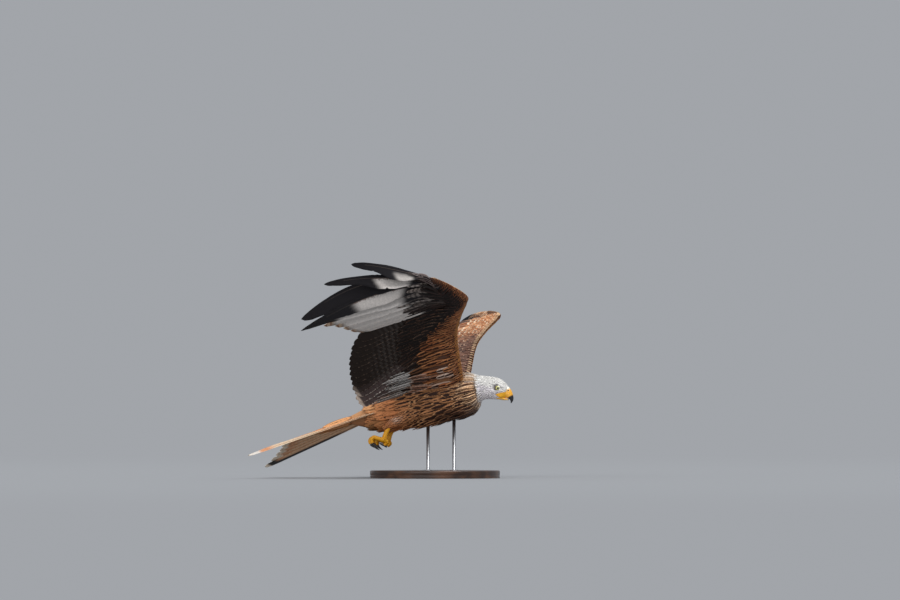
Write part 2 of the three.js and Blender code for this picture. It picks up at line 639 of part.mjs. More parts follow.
function clawPath(toe) {
  const [x, y, z, radius] = toePath(toe).at(-1);
  const shape = toe.back > 0 ? HIND_CLAW : FRONT_CLAW;
  const along = vec(shape.along);
  if (toe.back < 0) along.y *= Math.sign(toe.out);
  const bend = vec(shape.bend).addScaledVector(along, -0.3);
  return CLAW_STATIONS.map(([i, size]) => {
    const p = new THREE.Vector3(x, y, z)
      .addScaledVector(along, CLAW_STEP * i).addScaledVector(bend, CLAW_STEP * CLAW_BEND * i * i);
    return [...p.toArray(), radius * size];
  });
}

const thighFlesh = limb(THIGH, 12);
const footFlesh = join([limb(TARSUS, 8), ...TOES.map((toe) => limb(toePath(toe), TOE_SIDES))]);
const inflatedFoot = join(TOES.map((toe) => limb(toePath(toe), TOE_SIDES, GAP)));
const legParts = {
  thigh: thighFlesh.subtract(inflatedFlesh),
  foot: footFlesh.subtract(limb(THIGH, 12, GAP)).subtract(inflatedFlesh),
};
TOES.forEach((toe, i) => {
  legParts[`claw_${i + 1}`] = limb(clawPath(toe), CLAW_SIDES).subtract(inflatedFoot);
});

// The bird, turned into its pose over the stand
const bird = new THREE.Group();
bird.rotation.set(rad(ROLL), rad(-NOSE_UP), rad(YAW), 'ZYX');
bird.position.set(...SHOULDER_PLACE, SHOULDER_HEIGHT);
bird.updateMatrixWorld();

const PAINTS = {
  head: 0xc9c3bd, neck: 0xa99480, torso: 0x8a5230, tail: 0xb9714a, wing: 0x5c3a28,
  bill_upper: 0xe0a83c, bill_lower: 0xe0b04c, eye: 0xc9c06a, thigh: 0x9a6440, foot: 0xd9a520, claw: 0x1c1a18,
  stand_base: 0x4a3220, stand_rod: 0xb8b8b8,
};

function add(parent, name, body, paint, finish = { roughness: 0.75, metalness: 0 }) {
  const material = new THREE.MeshStandardMaterial({ color: PAINTS[paint], ...finish });
  const mesh = new THREE.Mesh(geometryOf(body), material);
  mesh.name = name;
  parent.add(mesh);
}

add(bird, 'head', headPart, 'head');
const SMOOTH = { roughness: 0.35, metalness: 0 };
const WET = { roughness: 0.05, metalness: 0 };
const boredBill = nostrils.reduce((all, hole) => all.subtract(hole), upperBill);
add(bird, 'bill_upper', placed(boredBill, headPlace), 'bill_upper', SMOOTH);
add(bird, 'bill_lower', placed(lowerBill, headPlace), 'bill_lower', SMOOTH);
add(bird, 'neck', neckPart, 'neck');
add(bird, 'torso', torsoPart, 'torso');
add(bird, 'tail', tailSolid(), 'tail');
for (const [name, wing] of Object.entries(wingParts)) add(bird, name, wing, 'wing');
for (const [side, name] of [[1, 'left'], [-1, 'right']]) {
  add(bird, `eye_${name}`, placed(eyeball(side, EYE_RADIUS), headPlace), 'eye', WET);
  for (const [part, body] of Object.entries(legParts)) {
    const sided = side > 0 ? body : body.mirror([0, 1, 0]);
    const [kind, number] = part.split('_');
    add(bird, number ? `claw_${name}_${number}` : `${part}_${name}`, sided, kind);
  }
}

// Stand: a bevelled wooden disc and two steel rods that meet the belly
const stand = new THREE.Group();
const baseProfile = [
  [0, 0], [BASE_RADIUS - 1, 0], [BASE_RADIUS, 1], [BASE_RADIUS, BASE_THICK - BASE_BEVEL],
  [BASE_RADIUS - BASE_BEVEL, BASE_THICK], [0, BASE_THICK],
].map(([r, z]) => new THREE.Vector2(r, z));
const disc = solidOf(new THREE.LatheGeometry(baseProfile, 40).rotateX(Math.PI / 2));
const belly = placed(inflatedFlesh, bird.matrixWorld);
let base = disc;
for (const [name, [x, y]] of Object.entries(RODS)) {
  const foot = BASE_THICK - ROD_SINK;
  const rodAt = (radius, from) => solidOf(
    new THREE.CylinderGeometry(radius, radius, SHOULDER_HEIGHT - from, 20)
      .rotateX(Math.PI / 2).translate(x, y, (SHOULDER_HEIGHT + from) / 2));
  base = base.subtract(rodAt(ROD_RADIUS + GAP, foot - GAP));
  add(stand, name, rodAt(ROD_RADIUS, foot).subtract(belly), 'stand_rod', { roughness: 0.25, metalness: 1 });
}
add(stand, 'stand_base', base, 'stand_base', { roughness: 0.5, metalness: 0 });

const model = new THREE.Group();
model.add(bird, stand);
export default model;
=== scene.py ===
# A red kite in level flight, life size, held over a round wooden base by two steel rods.
# Metres, +Z up. The bird heads along +X, and the origin is the centre of the base's underside.
import math

import bpy
import numpy as np
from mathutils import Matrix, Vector


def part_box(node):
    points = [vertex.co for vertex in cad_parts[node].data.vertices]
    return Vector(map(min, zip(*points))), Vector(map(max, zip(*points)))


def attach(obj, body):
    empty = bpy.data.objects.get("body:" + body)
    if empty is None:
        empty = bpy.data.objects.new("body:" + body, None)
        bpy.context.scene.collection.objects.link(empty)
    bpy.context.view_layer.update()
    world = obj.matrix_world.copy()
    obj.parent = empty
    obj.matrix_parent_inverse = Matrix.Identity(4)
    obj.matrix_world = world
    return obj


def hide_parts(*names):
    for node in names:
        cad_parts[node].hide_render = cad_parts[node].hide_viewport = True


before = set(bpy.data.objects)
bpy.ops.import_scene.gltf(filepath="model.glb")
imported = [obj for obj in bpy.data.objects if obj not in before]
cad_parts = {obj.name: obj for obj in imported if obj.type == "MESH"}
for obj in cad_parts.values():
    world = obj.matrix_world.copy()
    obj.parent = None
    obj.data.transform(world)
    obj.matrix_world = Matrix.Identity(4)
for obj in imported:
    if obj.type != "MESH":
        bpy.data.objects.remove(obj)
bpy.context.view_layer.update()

# The room: a wide pale floor that melts into pale air, and broad soft lights as in a museum hall.
# The camera stands level with the bird and far off on its right side, behind a very long lens.
AIR = (0.36, 0.375, 0.40)
FLOOR_GREY = (0.325, 0.335, 0.350)
FLOOR_REACH = 400.0
FLOOR_MELTS = (1.2, 8.0)
PIXELS_TO_THE_METRE = 433.0
PICTURE_WIDTH = 900
CAMERA_DISTANCE = 50.0
CAMERA_AIM = (0.0347, 0.0, 0.4116)
LAMP_PLACE = np.array([0, 0, 3.0])
LAMPS = {
    # direction it shines in, width in degrees, strength
    "lamp_above": ((-0.25, 0.40, -1.0), 50.0, 2.4),
    "lamp_front": ((0.35, 1.0, -0.15), 70.0, 1.45),
}


def joined(tree, kind, links=None, **settings):
    """A shader node with its settings; links gives its sockets, named or numbered, a value or a socket."""
    node = tree.nodes.new(kind)
    for key, value in settings.items():
        setattr(node, key, value)
    for key, value in (links or {}).items():
        if isinstance(value, bpy.types.NodeSocket):
            tree.links.new(value, node.inputs[key])
        else:
            node.inputs[key].default_value = value
    return node


def new_material(name):
    """An empty node material and its tree."""
    material = bpy.data.materials.new(name)
    material.use_nodes = True
    material.node_tree.nodes.clear()
    return material, material.node_tree


def shown(tree, shader):
    """Ends a material's tree in its output."""
    joined(tree, "ShaderNodeOutputMaterial", {"Surface": shader})


def in_place(tree):
    """The socket of a place in the object's own metres."""
    return joined(tree, "ShaderNodeTexCoord").outputs["Object"]


def linear(red, green, blue):
    """A colour given as 0 to 255 on a screen, as linear light: ((c + 0.055) / 1.055) ** 2.4."""
    c = np.array([red, green, blue], float) / 255
    return np.where(c > 0.04045, ((c + 0.055) / 1.055) ** 2.4, c / 12.92)


def paint(red, green, blue):
    """The same colour as four numbers for a node's socket."""
    return (*linear(red, green, blue), 1.0)


def aimed(thing, place, target):
    """Puts a lamp or camera at a place, its view axis towards the target."""
    thing.location = place
    thing.rotation_euler = (Vector(target) - Vector(place)).to_track_quat("-Z", "Y").to_euler()
    scene.collection.objects.link(thing)


scene = bpy.context.scene
scene.view_settings.view_transform = "Standard"

world = bpy.data.worlds.new("air")
world.use_nodes = True
world.node_tree.nodes["Background"].inputs["Color"].default_value = (*AIR, 1)
world.node_tree.nodes["Background"].inputs["Strength"].default_value = 1.0
scene.world = world

floor_material, tree = new_material("floor_plain")
away = joined(tree, "ShaderNodeVectorMath", {0: in_place(tree)}, operation="LENGTH")
melt = joined(tree, "ShaderNodeMapRange", {
    "Value": away.outputs["Value"], "From Min": FLOOR_MELTS[0], "From Max": FLOOR_MELTS[1],
}, interpolation_type="SMOOTHSTEP")
matt = joined(tree, "ShaderNodeBsdfDiffuse", {"Color": (*FLOOR_GREY, 1)})
glow = joined(tree, "ShaderNodeEmission", {"Color": (*AIR, 1), "Strength": 1.0})
shown(tree, joined(tree, "ShaderNodeMixShader", {
    0: melt.outputs[0], 1: matt.outputs[0], 2: glow.outputs[0]}).outputs[0])

floor_mesh = bpy.data.meshes.new("floor")
floor_corners = [(x * FLOOR_REACH, y * FLOOR_REACH, 0) for x, y in ((-1, -1), (1, -1), (1, 1), (-1, 1))]
floor_mesh.from_pydata(floor_corners, [], [(0, 1, 2, 3)])
floor_mesh.materials.append(floor_material)
floor = bpy.data.objects.new("floor", floor_mesh)
scene.collection.objects.link(floor)

for name, (shining, width, strength) in LAMPS.items():
    lamp = bpy.data.objects.new(name, bpy.data.lights.new(name, "SUN"))
    lamp.data.angle = math.radians(width)
    lamp.data.energy = strength
    aimed(lamp, LAMP_PLACE, LAMP_PLACE + shining)

camera = bpy.data.objects.new("camera", bpy.data.cameras.new("camera"))
camera.data.lens = camera.data.sensor_width * CAMERA_DISTANCE * PIXELS_TO_THE_METRE / PICTURE_WIDTH
camera.data.clip_end = 4 * FLOOR_REACH
aimed(camera, (CAMERA_AIM[0], -CAMERA_DISTANCE, CAMERA_AIM[2]), CAMERA_AIM)
scene.camera = camera

# The base: a round board of dark walnut, turned on a lathe, with a rounded top edge and a fine bead
# below it, oiled and lightly polished. The rods are sunk into it.
BASE_RADIUS = 0.150
BASE_THICK = 0.018
BASE_ROUND = 0.003
BASE_BEAD = 0.0007
BASE_MIDDLE = 0.06
BASE_TURNS = 160
WALNUT_DARK = paint(52, 31, 20)
WALNUT_LIGHT = paint(112, 72, 44)
WALNUT_PORE = paint(26, 15, 10)


def noise(tree, place, scale, detail):
    """The strength of a noise at a place."""
    return joined(tree, "ShaderNodeTexNoise", {
        "Vector": place, "Scale": scale, "Detail": detail}).outputs["Fac"]


def mixed(tree, base, top, share):
    """One colour laid over another."""
    return joined(tree, "ShaderNodeMix", {"Factor": share, 6: base, 7: top}, data_type="RGBA").outputs[2]


def bumped(tree, height, strength, distance):
    """The surface's direction, roughened by a height."""
    return joined(tree, "ShaderNodeBump", {
        "Height": height, "Strength": strength, "Distance": distance}).outputs[0]


def surfaced(tree, looks):
    """Ends a material's tree in one surface with these looks."""
    shown(tree, joined(tree, "ShaderNodeBsdfPrincipled", looks).outputs[0])


def painted(mesh, name, values):
    """Stores one colour for every point."""
    layer = mesh.attributes.new(name, "FLOAT_COLOR", "POINT")
    full = np.ones((len(values), 4), np.float32)
    full[:, :values.shape[1]] = values
    layer.data.foreach_set("color", full.ravel())


def fixed(name, mesh, material, replaced):
    """Shows a mesh, smooth-shaded and fixed to the body, for the CAD nodes that it stands for."""
    mesh.materials.append(material)
    mesh.polygons.foreach_set("use_smooth", np.ones(len(mesh.polygons), bool))
    thing = bpy.data.objects.new(name, mesh)
    scene.collection.objects.link(thing)
    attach(thing, "root")
    if replaced:
        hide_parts(*replaced)


def piece(name, points, faces, material, slot, replaced=(), colours=None):
    """A mesh from points in the room's frame, with every point's own colour where its material reads one."""
    mesh = bpy.data.meshes.new(name)
    mesh.from_pydata(np.asarray(points, dtype=np.float32), [], faces)
    if colours is not None:
        painted(mesh, "ground", colours)
    fixed(name, mesh, material, replaced)


def rings_to_faces(rings, sides):
    """Quads between rings of points in order, with fans to one point before them and to one after."""
    a = 1 + np.arange(rings * sides).reshape(rings, sides)
    b = np.roll(a, -1, axis=1)
    walls = np.stack([a[:-1], b[:-1], b[1:], a[1:]], -1).reshape(-1, 4)
    last = rings * sides + 1
    start = [(0, int(q), int(p)) for p, q in zip(a[0], b[0])]
    end = [(int(p), int(q), last) for p, q in zip(a[-1], b[-1])]
    return [tuple(int(i) for i in w) for w in walls] + start + end


def turned(profile, sides, at=(0, 0)):
    """A profile of (radius, height) turned round an upright axis, closed by a point at each end."""
    angle = np.linspace(0, 2 * math.pi, sides, endpoint=False)
    radius, height = np.array(profile).T
    x = at[0] + radius[:, None] * np.cos(angle)
    y = at[1] + radius[:, None] * np.sin(angle)
    rings = np.stack([x, y, np.repeat(height[:, None], sides, 1)], -1).reshape(-1, 3)
    points = np.vstack([[[*at, height[0]]], rings, [[*at, height[-1]]]])
    return points, rings_to_faces(len(profile), sides)


walnut, tree = new_material("walnut_oiled")
place = in_place(tree)
grain = joined(tree, "ShaderNodeMapping", {
    "Vector": place, "Location": (0.3, 0.13, -0.4), "Scale": (1.2, 9.0, 9.0)}).outputs[0]
fibre = joined(tree, "ShaderNodeMapping", {"Vector": place, "Scale": (60, 1400, 1400)}).outputs[0]
year_rings = joined(tree, "ShaderNodeTexWave", {
    "Vector": grain, "Scale": 2.2, "Distortion": 9.0, "Detail": 3.0, "Detail Scale": 1.4}).outputs["Fac"]
drift = noise(tree, grain, 3.0, 5.0)
figure = joined(tree, "ShaderNodeMath", {0: year_rings, 1: drift}, operation="MULTIPLY")
pores = noise(tree, fibre, 1.0, 2.0)
deep = joined(tree, "ShaderNodeMapRange", {"Value": pores, "From Min": 0.56, "From Max": 0.7, "To Max": 0.7})
toned = mixed(tree, WALNUT_DARK, WALNUT_LIGHT, figure.outputs[0])
surfaced(tree, {
    "Base Color": mixed(tree, toned, WALNUT_PORE, deep.outputs[0]), "Roughness": 0.38, "Coat Weight": 0.25,
    "Coat Roughness": 0.2, "Normal": bumped(tree, pores, 0.12, 0.0004)})

corner = np.linspace(0, math.pi / 2, 7)
bead = BASE_BEAD * np.sin(np.linspace(0, math.pi, 5))
base_profile = [
    (BASE_MIDDLE, 0), (BASE_RADIUS - 0.0012, 0), (BASE_RADIUS - 0.0003, 0.0004), (BASE_RADIUS, 0.0012),
    *[(BASE_RADIUS - 0.0009 + out, 0.0036 + 0.0009 * i) for i, out in enumerate(bead)],
    (BASE_RADIUS - 0.0001, 0.0082),
    *[(BASE_RADIUS - BASE_ROUND * (1 - math.cos(c)), BASE_THICK - BASE_ROUND * (1 - math.sin(c)))
      for c in corner],
    (BASE_MIDDLE, BASE_THICK),
]
piece("stand_base_turned", *turned(base_profile, BASE_TURNS), walnut, "stand_wood", ["stand_base"])

# The rods: two straight pieces of brushed steel bar, 8 mm across, pressed into the base through a
# thin steel washer each, and pushed up into the belly, where the feathers close round them.
ROD_RADIUS = 0.004
WASHER_RADIUS = 0.0095
WASHER_THICK = 0.0016
WASHER_EDGE = 0.0004
WASHER_SUNK = 0.0002
ROD_SIDES = 40

steel, tree = new_material("steel_brushed")
brushing = joined(tree, "ShaderNodeMapping", {"Vector": in_place(tree), "Scale": (500, 500, 30)})
scratch = noise(tree, brushing.outputs[0], 2.0, 3.0)
shine = joined(tree, "ShaderNodeMapRange", {"Value": scratch, "To Min": 0.22, "To Max": 0.42})
surfaced(tree, {
    "Base Color": paint(196, 197, 200), "Metallic": 1.0, "Roughness": shine.outputs[0],
    "Normal": bumped(tree, scratch, 0.1, 0.0002)})

for node in ("stand_rod_front", "stand_rod_rear"):
    low, high = (np.array(c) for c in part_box(node))
    washer_foot, washer_top = BASE_THICK - WASHER_SUNK, BASE_THICK + WASHER_THICK
    profile = [
        (ROD_RADIUS, low[2]), (ROD_RADIUS, washer_foot), (WASHER_RADIUS, washer_foot),
        (WASHER_RADIUS, washer_top - WASHER_EDGE), (WASHER_RADIUS - WASHER_EDGE, washer_top),
        (ROD_RADIUS + WASHER_EDGE, washer_top), (ROD_RADIUS, washer_top + WASHER_EDGE), (ROD_RADIUS, high[2]),
    ]
    piece(f"{node}_bar", *turned(profile, ROD_SIDES, (low[:2] + high[:2]) / 2), steel, "stand_steel", [node])

# The skin: one soft body from the rump to the root of the bill, with the thighs and the fleshy part of
# both wings grown into it. It lies under the coat, so only its colour shows between the feathers.
YAW, NOSE_UP, ROLL = -9.0, 12.0, -5.5
SHOULDERS = np.array([0.052, -0.004, 0.228])
SKIN_RINGS = np.array([
    # back x, z, belly x, z, half width, depth of the coat over it
    [-0.262, -0.029, -0.262, -0.052, 0.009, 0.002], [-0.236, -0.021, -0.236, -0.064, 0.015, 0.003],
    [-0.206, -0.012, -0.206, -0.076, 0.025, 0.004], [-0.170, -0.002, -0.170, -0.084, 0.036, 0.005],
    [-0.130, 0.009, -0.130, -0.087, 0.045, 0.006], [-0.085, 0.017, -0.085, -0.0925, 0.0505, 0.007],
    [-0.040, 0.021, -0.040, -0.0925, 0.053, 0.007], [-0.008, 0.020, -0.008, -0.089, 0.050, 0.007],
    [0.014, 0.0165, 0.016, -0.087, 0.0465, 0.006], [0.032, 0.012, 0.031, -0.0815, 0.042, 0.005],
    [0.044, 0.0065, 0.040, -0.072, 0.037, 0.004], [0.055, 0.001, 0.043, -0.0615, 0.0325, 0.0035],
    [0.0685, -0.0040, 0.0555, -0.0595, 0.0285, 0.003], [0.0815, -0.0090, 0.0685, -0.0617, 0.0255, 0.0022],
    [0.0924, -0.0140, 0.0782, -0.0640, 0.0235, 0.0016], [0.1005, -0.0201, 0.0861, -0.0660, 0.0212, 0.0013],
    [0.1062, -0.0266, 0.0934, -0.0672, 0.0182, 0.0010], [0.1106, -0.0333, 0.0992, -0.0668, 0.0138, 0.0008],
    [0.1135, -0.0388, 0.1035, -0.0640, 0.0092, 0.0006],
])
SKIN_SIDES = 56
BACK_SHARE, BELLY_SHARE = 0.46, 0.54
LIMB_SIDES = 24
VOXEL = 0.0016
SMOOTHING = (0.5, 6)


def turn(axis, degrees):
    """The 3 by 3 matrix of a turn about an axis: I cos + (1 - cos) a a' + sin [a]."""
    a = np.asarray(axis, float)
    a = a / np.linalg.norm(a)
    c, s = math.cos(math.radians(degrees)), math.sin(math.radians(degrees))
    skew = np.array([[0, -a[2], a[1]], [a[2], 0, -a[0]], [-a[1], a[0], 0]])
    return c * np.eye(3) + (1 - c) * np.outer(a, a) + s * skew


POSE = turn((0, 0, 1), YAW) @ turn((0, 1, 0), -NOSE_UP) @ turn((1, 0, 0), ROLL)


def in_room(points):
    """Points of the bird's own frame, x forward and y left from between its shoulders, in the room's."""
    return np.asarray(points) @ POSE.T + SHOULDERS


def smooth_rows(rows, at):
    """Catmull-Rom curve through the rows of a table, at fractional row numbers."""
    rows = np.asarray(rows, float)
    last = len(rows) - 1
    at = np.clip(at, 0, last)
    i = np.minimum(np.floor(at).astype(int), last - 1)
    f = (at - i)[..., None]
    a, b, c, d = (rows[np.clip(i + k, 0, last)] for k in (-1, 0, 1, 2))
    return b + 0.5 * f * (c - a + f * (2 * a - 5 * b + 4 * c - d + f * (3 * (b - c) + d - a)))


def unit(v):
    """Vectors of length 1."""
    return v / np.maximum(np.linalg.norm(v, axis=-1, keepdims=True), 1e-12)


def body_point(place, angle):
    """A point of the skin, on the oval at a ring number, at an angle from its left side upwards."""
    place, angle = np.broadcast_arrays(np.asarray(place, float), np.asarray(angle, float))
    x0, z0, x1, z1, half, depth = np.moveaxis(smooth_rows(SKIN_RINGS, place), -1, 0)
    tall = np.hypot(x0 - x1, z0 - z1)
    up = np.stack([(x0 - x1) / tall, 0 * tall, (z0 - z1) / tall], -1)
    waist = np.stack([x1, 0 * x1, z1], -1) + up * (BELLY_SHARE * tall)[..., None]
    out = -depth * (1 - 0.55 * np.clip(-np.sin(angle), 0, 1))
    reach = np.where(np.sin(angle) > 0, BACK_SHARE, BELLY_SHARE) * tall + out
    side = (half + out) * np.cos(angle)
    return waist + up * (reach * np.sin(angle))[..., None] + side[..., None] * np.array([0, 1.0, 0])


def body_out(place, angle):
    """The way out of the skin at a place of it."""
    step = 0.04
    back = unit(body_point(place - step, angle) - body_point(place + step, angle))
    round_it = body_point(place, angle + step) - body_point(place, angle - step)
    return unit(np.cross(back, round_it))


def loft(rings):
    """Points and faces of a closed skin over rings of equal count, a point closing each end."""
    points = np.vstack([rings[0].mean(axis=0)[None], rings.reshape(-1, 3), rings[-1].mean(axis=0)[None]])
    return points, rings_to_faces(*rings.shape[:2])


def gathered(shells):
    """Several shells as one: their points stacked and their faces counted on."""
    faces, offset = [], 0
    for points, shell in shells:
        faces += [tuple(i + offset for i in face) for face in shell]
        offset += len(points)
    return np.vstack([points for points, _ in shells]), faces


THIGH = np.array([
    # x, y, z, radius
    [-0.082, 0.025, -0.054, 0.011], [-0.102, 0.027, -0.059, 0.0165], [-0.126, 0.028, -0.062, 0.017],
    [-0.148, 0.027, -0.065, 0.013], [-0.166, 0.0255, -0.070, 0.0088], [-0.178, 0.025, -0.075, 0.0062],
])
ARM_SECTIONS = np.array([
    # x, y, z of the leading edge and of the flesh's rear edge, thickness
    [0.018, 0.024, -0.012, -0.092, 0.022, -0.022, 0.022], [0.024, 0.055, 0.014, -0.084, 0.058, 0.008, 0.018],
    [0.040, 0.128, 0.085, -0.048, 0.127, 0.078, 0.013], [0.064, 0.172, 0.121, -0.005, 0.170, 0.110, 0.010],
    [0.089, 0.206, 0.146, 0.044, 0.203, 0.133, 0.009], [0.093, 0.222, 0.158, 0.056, 0.212, 0.143, 0.008],
    [0.066, 0.262, 0.186, 0.032, 0.246, 0.165, 0.006], [0.034, 0.298, 0.208, 0.014, 0.281, 0.193, 0.003],
])
HAND_SECTIONS = 3
SHOULDER = np.array([0, 0.035, 0])
ELBOW = np.array([0, 0.1295, 0.082])
WRIST = np.array([0.091, 0.215, 0.156])
HAND_TIP = np.array([0.028, 0.293, 0.208])
HANDS = {"left": {"drop": 17.6, "roll": 16.0}, "right": {"drop": 0.0, "roll": 0.0}}


def swung(points, hand):
    """Points of the hand, swung down about the wrist and rolled about the hand's own bones."""
    down = turn((1, 0, 0), -hand["drop"])
    roll = turn(down @ (HAND_TIP - WRIST), -hand["roll"])
    return (np.asarray(points) - WRIST) @ down.T @ roll.T + WRIST


def sided(points, side):
    """The left side's points, or their mirror image for the right side."""
    return points * np.array([1, -1 if side == "right" else 1, 1])


def outward(faces, side):
    """The left side's faces, turned over for the mirror image on the right, so that they face out too."""
    return [face[::-1] for face in faces] if side == "right" else faces


def tube(path, sides):
    """Rings round a path of x, y, z and radius, each square to the path."""
    centre, radius = path[:, :3], path[:, 3]
    along = unit(np.gradient(centre, axis=0))
    left = np.array([0, 1.0, 0])
    across = unit(left - along * (along @ left)[:, None])
    over = np.cross(along, across)
    a = np.linspace(0, 2 * math.pi, sides, endpoint=False)
    circle = across[:, None] * np.cos(a)[:, None] + over[:, None] * np.sin(a)[:, None]
    return centre[:, None] + radius[:, None, None] * circle


def arm_sections(hand):
    """The flesh sections of a left wing with its hand swung, the hand's ends turned with it."""
    table = ARM_SECTIONS.copy()
    for part in (slice(0, 3), slice(3, 6)):
        table[-HAND_SECTIONS:, part] = swung(table[-HAND_SECTIONS:, part], hand)
    return table


def arm_rings(hand):
    """Rings round the wing's flesh: half the thickness times sin(a) (1.25 - 0.75 c), c = (1 - cos a) / 2."""
    table = smooth_rows(arm_sections(hand), np.linspace(0, len(ARM_SECTIONS) - 1, 60))
    lead, chord, thick = table[:, 0:3], table[:, 3:6] - table[:, 0:3], table[:, 6]
    over = unit(np.cross(np.gradient(lead, axis=0), chord))
    a = np.linspace(0, 2 * math.pi, LIMB_SIDES, endpoint=False)
    c = (1 - np.cos(a)) / 2
    lift = thick[:, None] / 2 * (np.sin(a) * (1.25 - 0.75 * c))
    return lead[:, None] + chord[:, None] * (0.04 + 0.92 * c)[:, None] + over[:, None] * lift[..., None]


HEAD_AT = np.array([0.090, 0.0, -0.0408])
HEAD_TURN = turn((0, 1, 0), 27.0)
BROW = {"at": (0.003, 0.0152, 0.0078), "radii": (0.0125, 0.0042, 0.0034), "turn": 13.0}
CHEEK = {"at": (0.004, 0.0105, -0.0135), "radii": (0.0125, 0.0060, 0.0068), "turn": 10.0}
SOCKET_RADIUS = 0.0088
SOCKET_BED, SOCKET_BRIM = 0.0160, 0.006


def on_head(points):
    """Points of the head's own frame, x forward from between the eyes, in the bird's."""
    return np.asarray(points) @ HEAD_TURN.T + HEAD_AT


def egg(shape):
    """An ellipsoid, its rings from one end to the other along x, turned about y."""
    a = np.linspace(0, math.pi, 16)[1:-1, None]
    b = np.linspace(0, 2 * math.pi, LIMB_SIDES, endpoint=False)
    ball = np.stack([np.cos(a) + 0 * b, np.sin(a) * np.cos(b), np.sin(a) * np.sin(b)], -1)
    return (ball * np.array(shape["radii"])) @ turn((0, 1, 0), shape["turn"]).T + np.array(shape["at"])


def soft_body():
    """The body, the thighs, the arms, the brows and the cheeks as closed shells that run into each other."""
    place = np.linspace(0, len(SKIN_RINGS) - 1, 220)
    angle = np.linspace(0, 2 * math.pi, SKIN_SIDES, endpoint=False)
    thigh = tube(smooth_rows(THIGH, np.linspace(0, len(THIGH) - 1, 40)), LIMB_SIDES)
    shells = [loft(body_point(place[:, None], angle))]
    for side in ("left", "right"):
        shells += [loft(sided(rings, side)) for rings in (thigh, arm_rings(HANDS[side]))]
    for side in ("left", "right"):
        shells += [loft(sided(on_head(egg(shape)), side)) for shape in (BROW, CHEEK)]
    points, faces = gathered(shells)
    return in_room(points), faces


def remeshed(points, faces):
    """One closed skin from overlapping shells: a voxel remesh, then a light smoothing, both applied."""
    mesh = bpy.data.meshes.new("shells")
    mesh.from_pydata(points.astype(np.float32), [], faces)
    shells = bpy.data.objects.new("shells", mesh)
    scene.collection.objects.link(shells)
    fused = shells.modifiers.new("fused", "REMESH")
    fused.mode, fused.voxel_size = "VOXEL", VOXEL
    soft = shells.modifiers.new("soft", "SMOOTH")
    soft.factor, soft.iterations = SMOOTHING
    bpy.context.view_layer.update()
    done = bpy.data.meshes.new_from_object(shells.evaluated_get(bpy.context.evaluated_depsgraph_get()))
    bpy.data.objects.remove(shells)
    return done


def coordinates(mesh):
    """A mesh's points as an array."""
    found = np.empty(3 * len(mesh.vertices), np.float32)
    mesh.vertices.foreach_get("co", found)
    return found.reshape(-1, 3).astype(float)


def from_room(points):
    """Points of the room in the bird's own frame."""
    return (np.asarray(points) - SHOULDERS) @ POSE


def from_bird(points):
    """Points of the bird's frame in the head's own frame."""
    return (np.asarray(points) - HEAD_AT) @ HEAD_TURN


def step_up(x, low, high):
    """A smooth step from 0 to 1 between two values."""
    t = np.clip((x - low) / (high - low), 0, 1)
    return t * t * (3 - 2 * t)


def blend(a, b, share):
    """A mix of two colours, share by share."""
    return a + (b - a) * np.asarray(share)[..., None]


def layered(base, *layers):
    """A colour with others laid over it in turn, each with its share; a triple is a colour on the screen."""
    found = linear(*base) if isinstance(base, tuple) else base
    for colour, share in layers:
        found = blend(found, linear(*colour) if isinstance(colour, tuple) else colour, share)
    return found


def gape(head):
    """How far places of the head's frame lie on the bare skin between the eye and the bill's corner."""
    x, _, z = np.moveaxis(head, -1, 0)
    below = step_up(0.55 * x - 0.0140 - z, -0.0004, 0.0008)
    above = step_up(z + 0.0172 + 0.40 * (x - 0.002), 0, 0.001)
    return below * above * step_up(x, -0.0008, 0.0010)


def soft_spot(across, up, middle, size):
    """A soft round spot: exp(-((across - middle) / size) ** 2), the same upwards, multiplied."""
    return np.exp(-((across - middle[0]) / size[0]) ** 2 - ((up - middle[1]) / size[1]) ** 2)


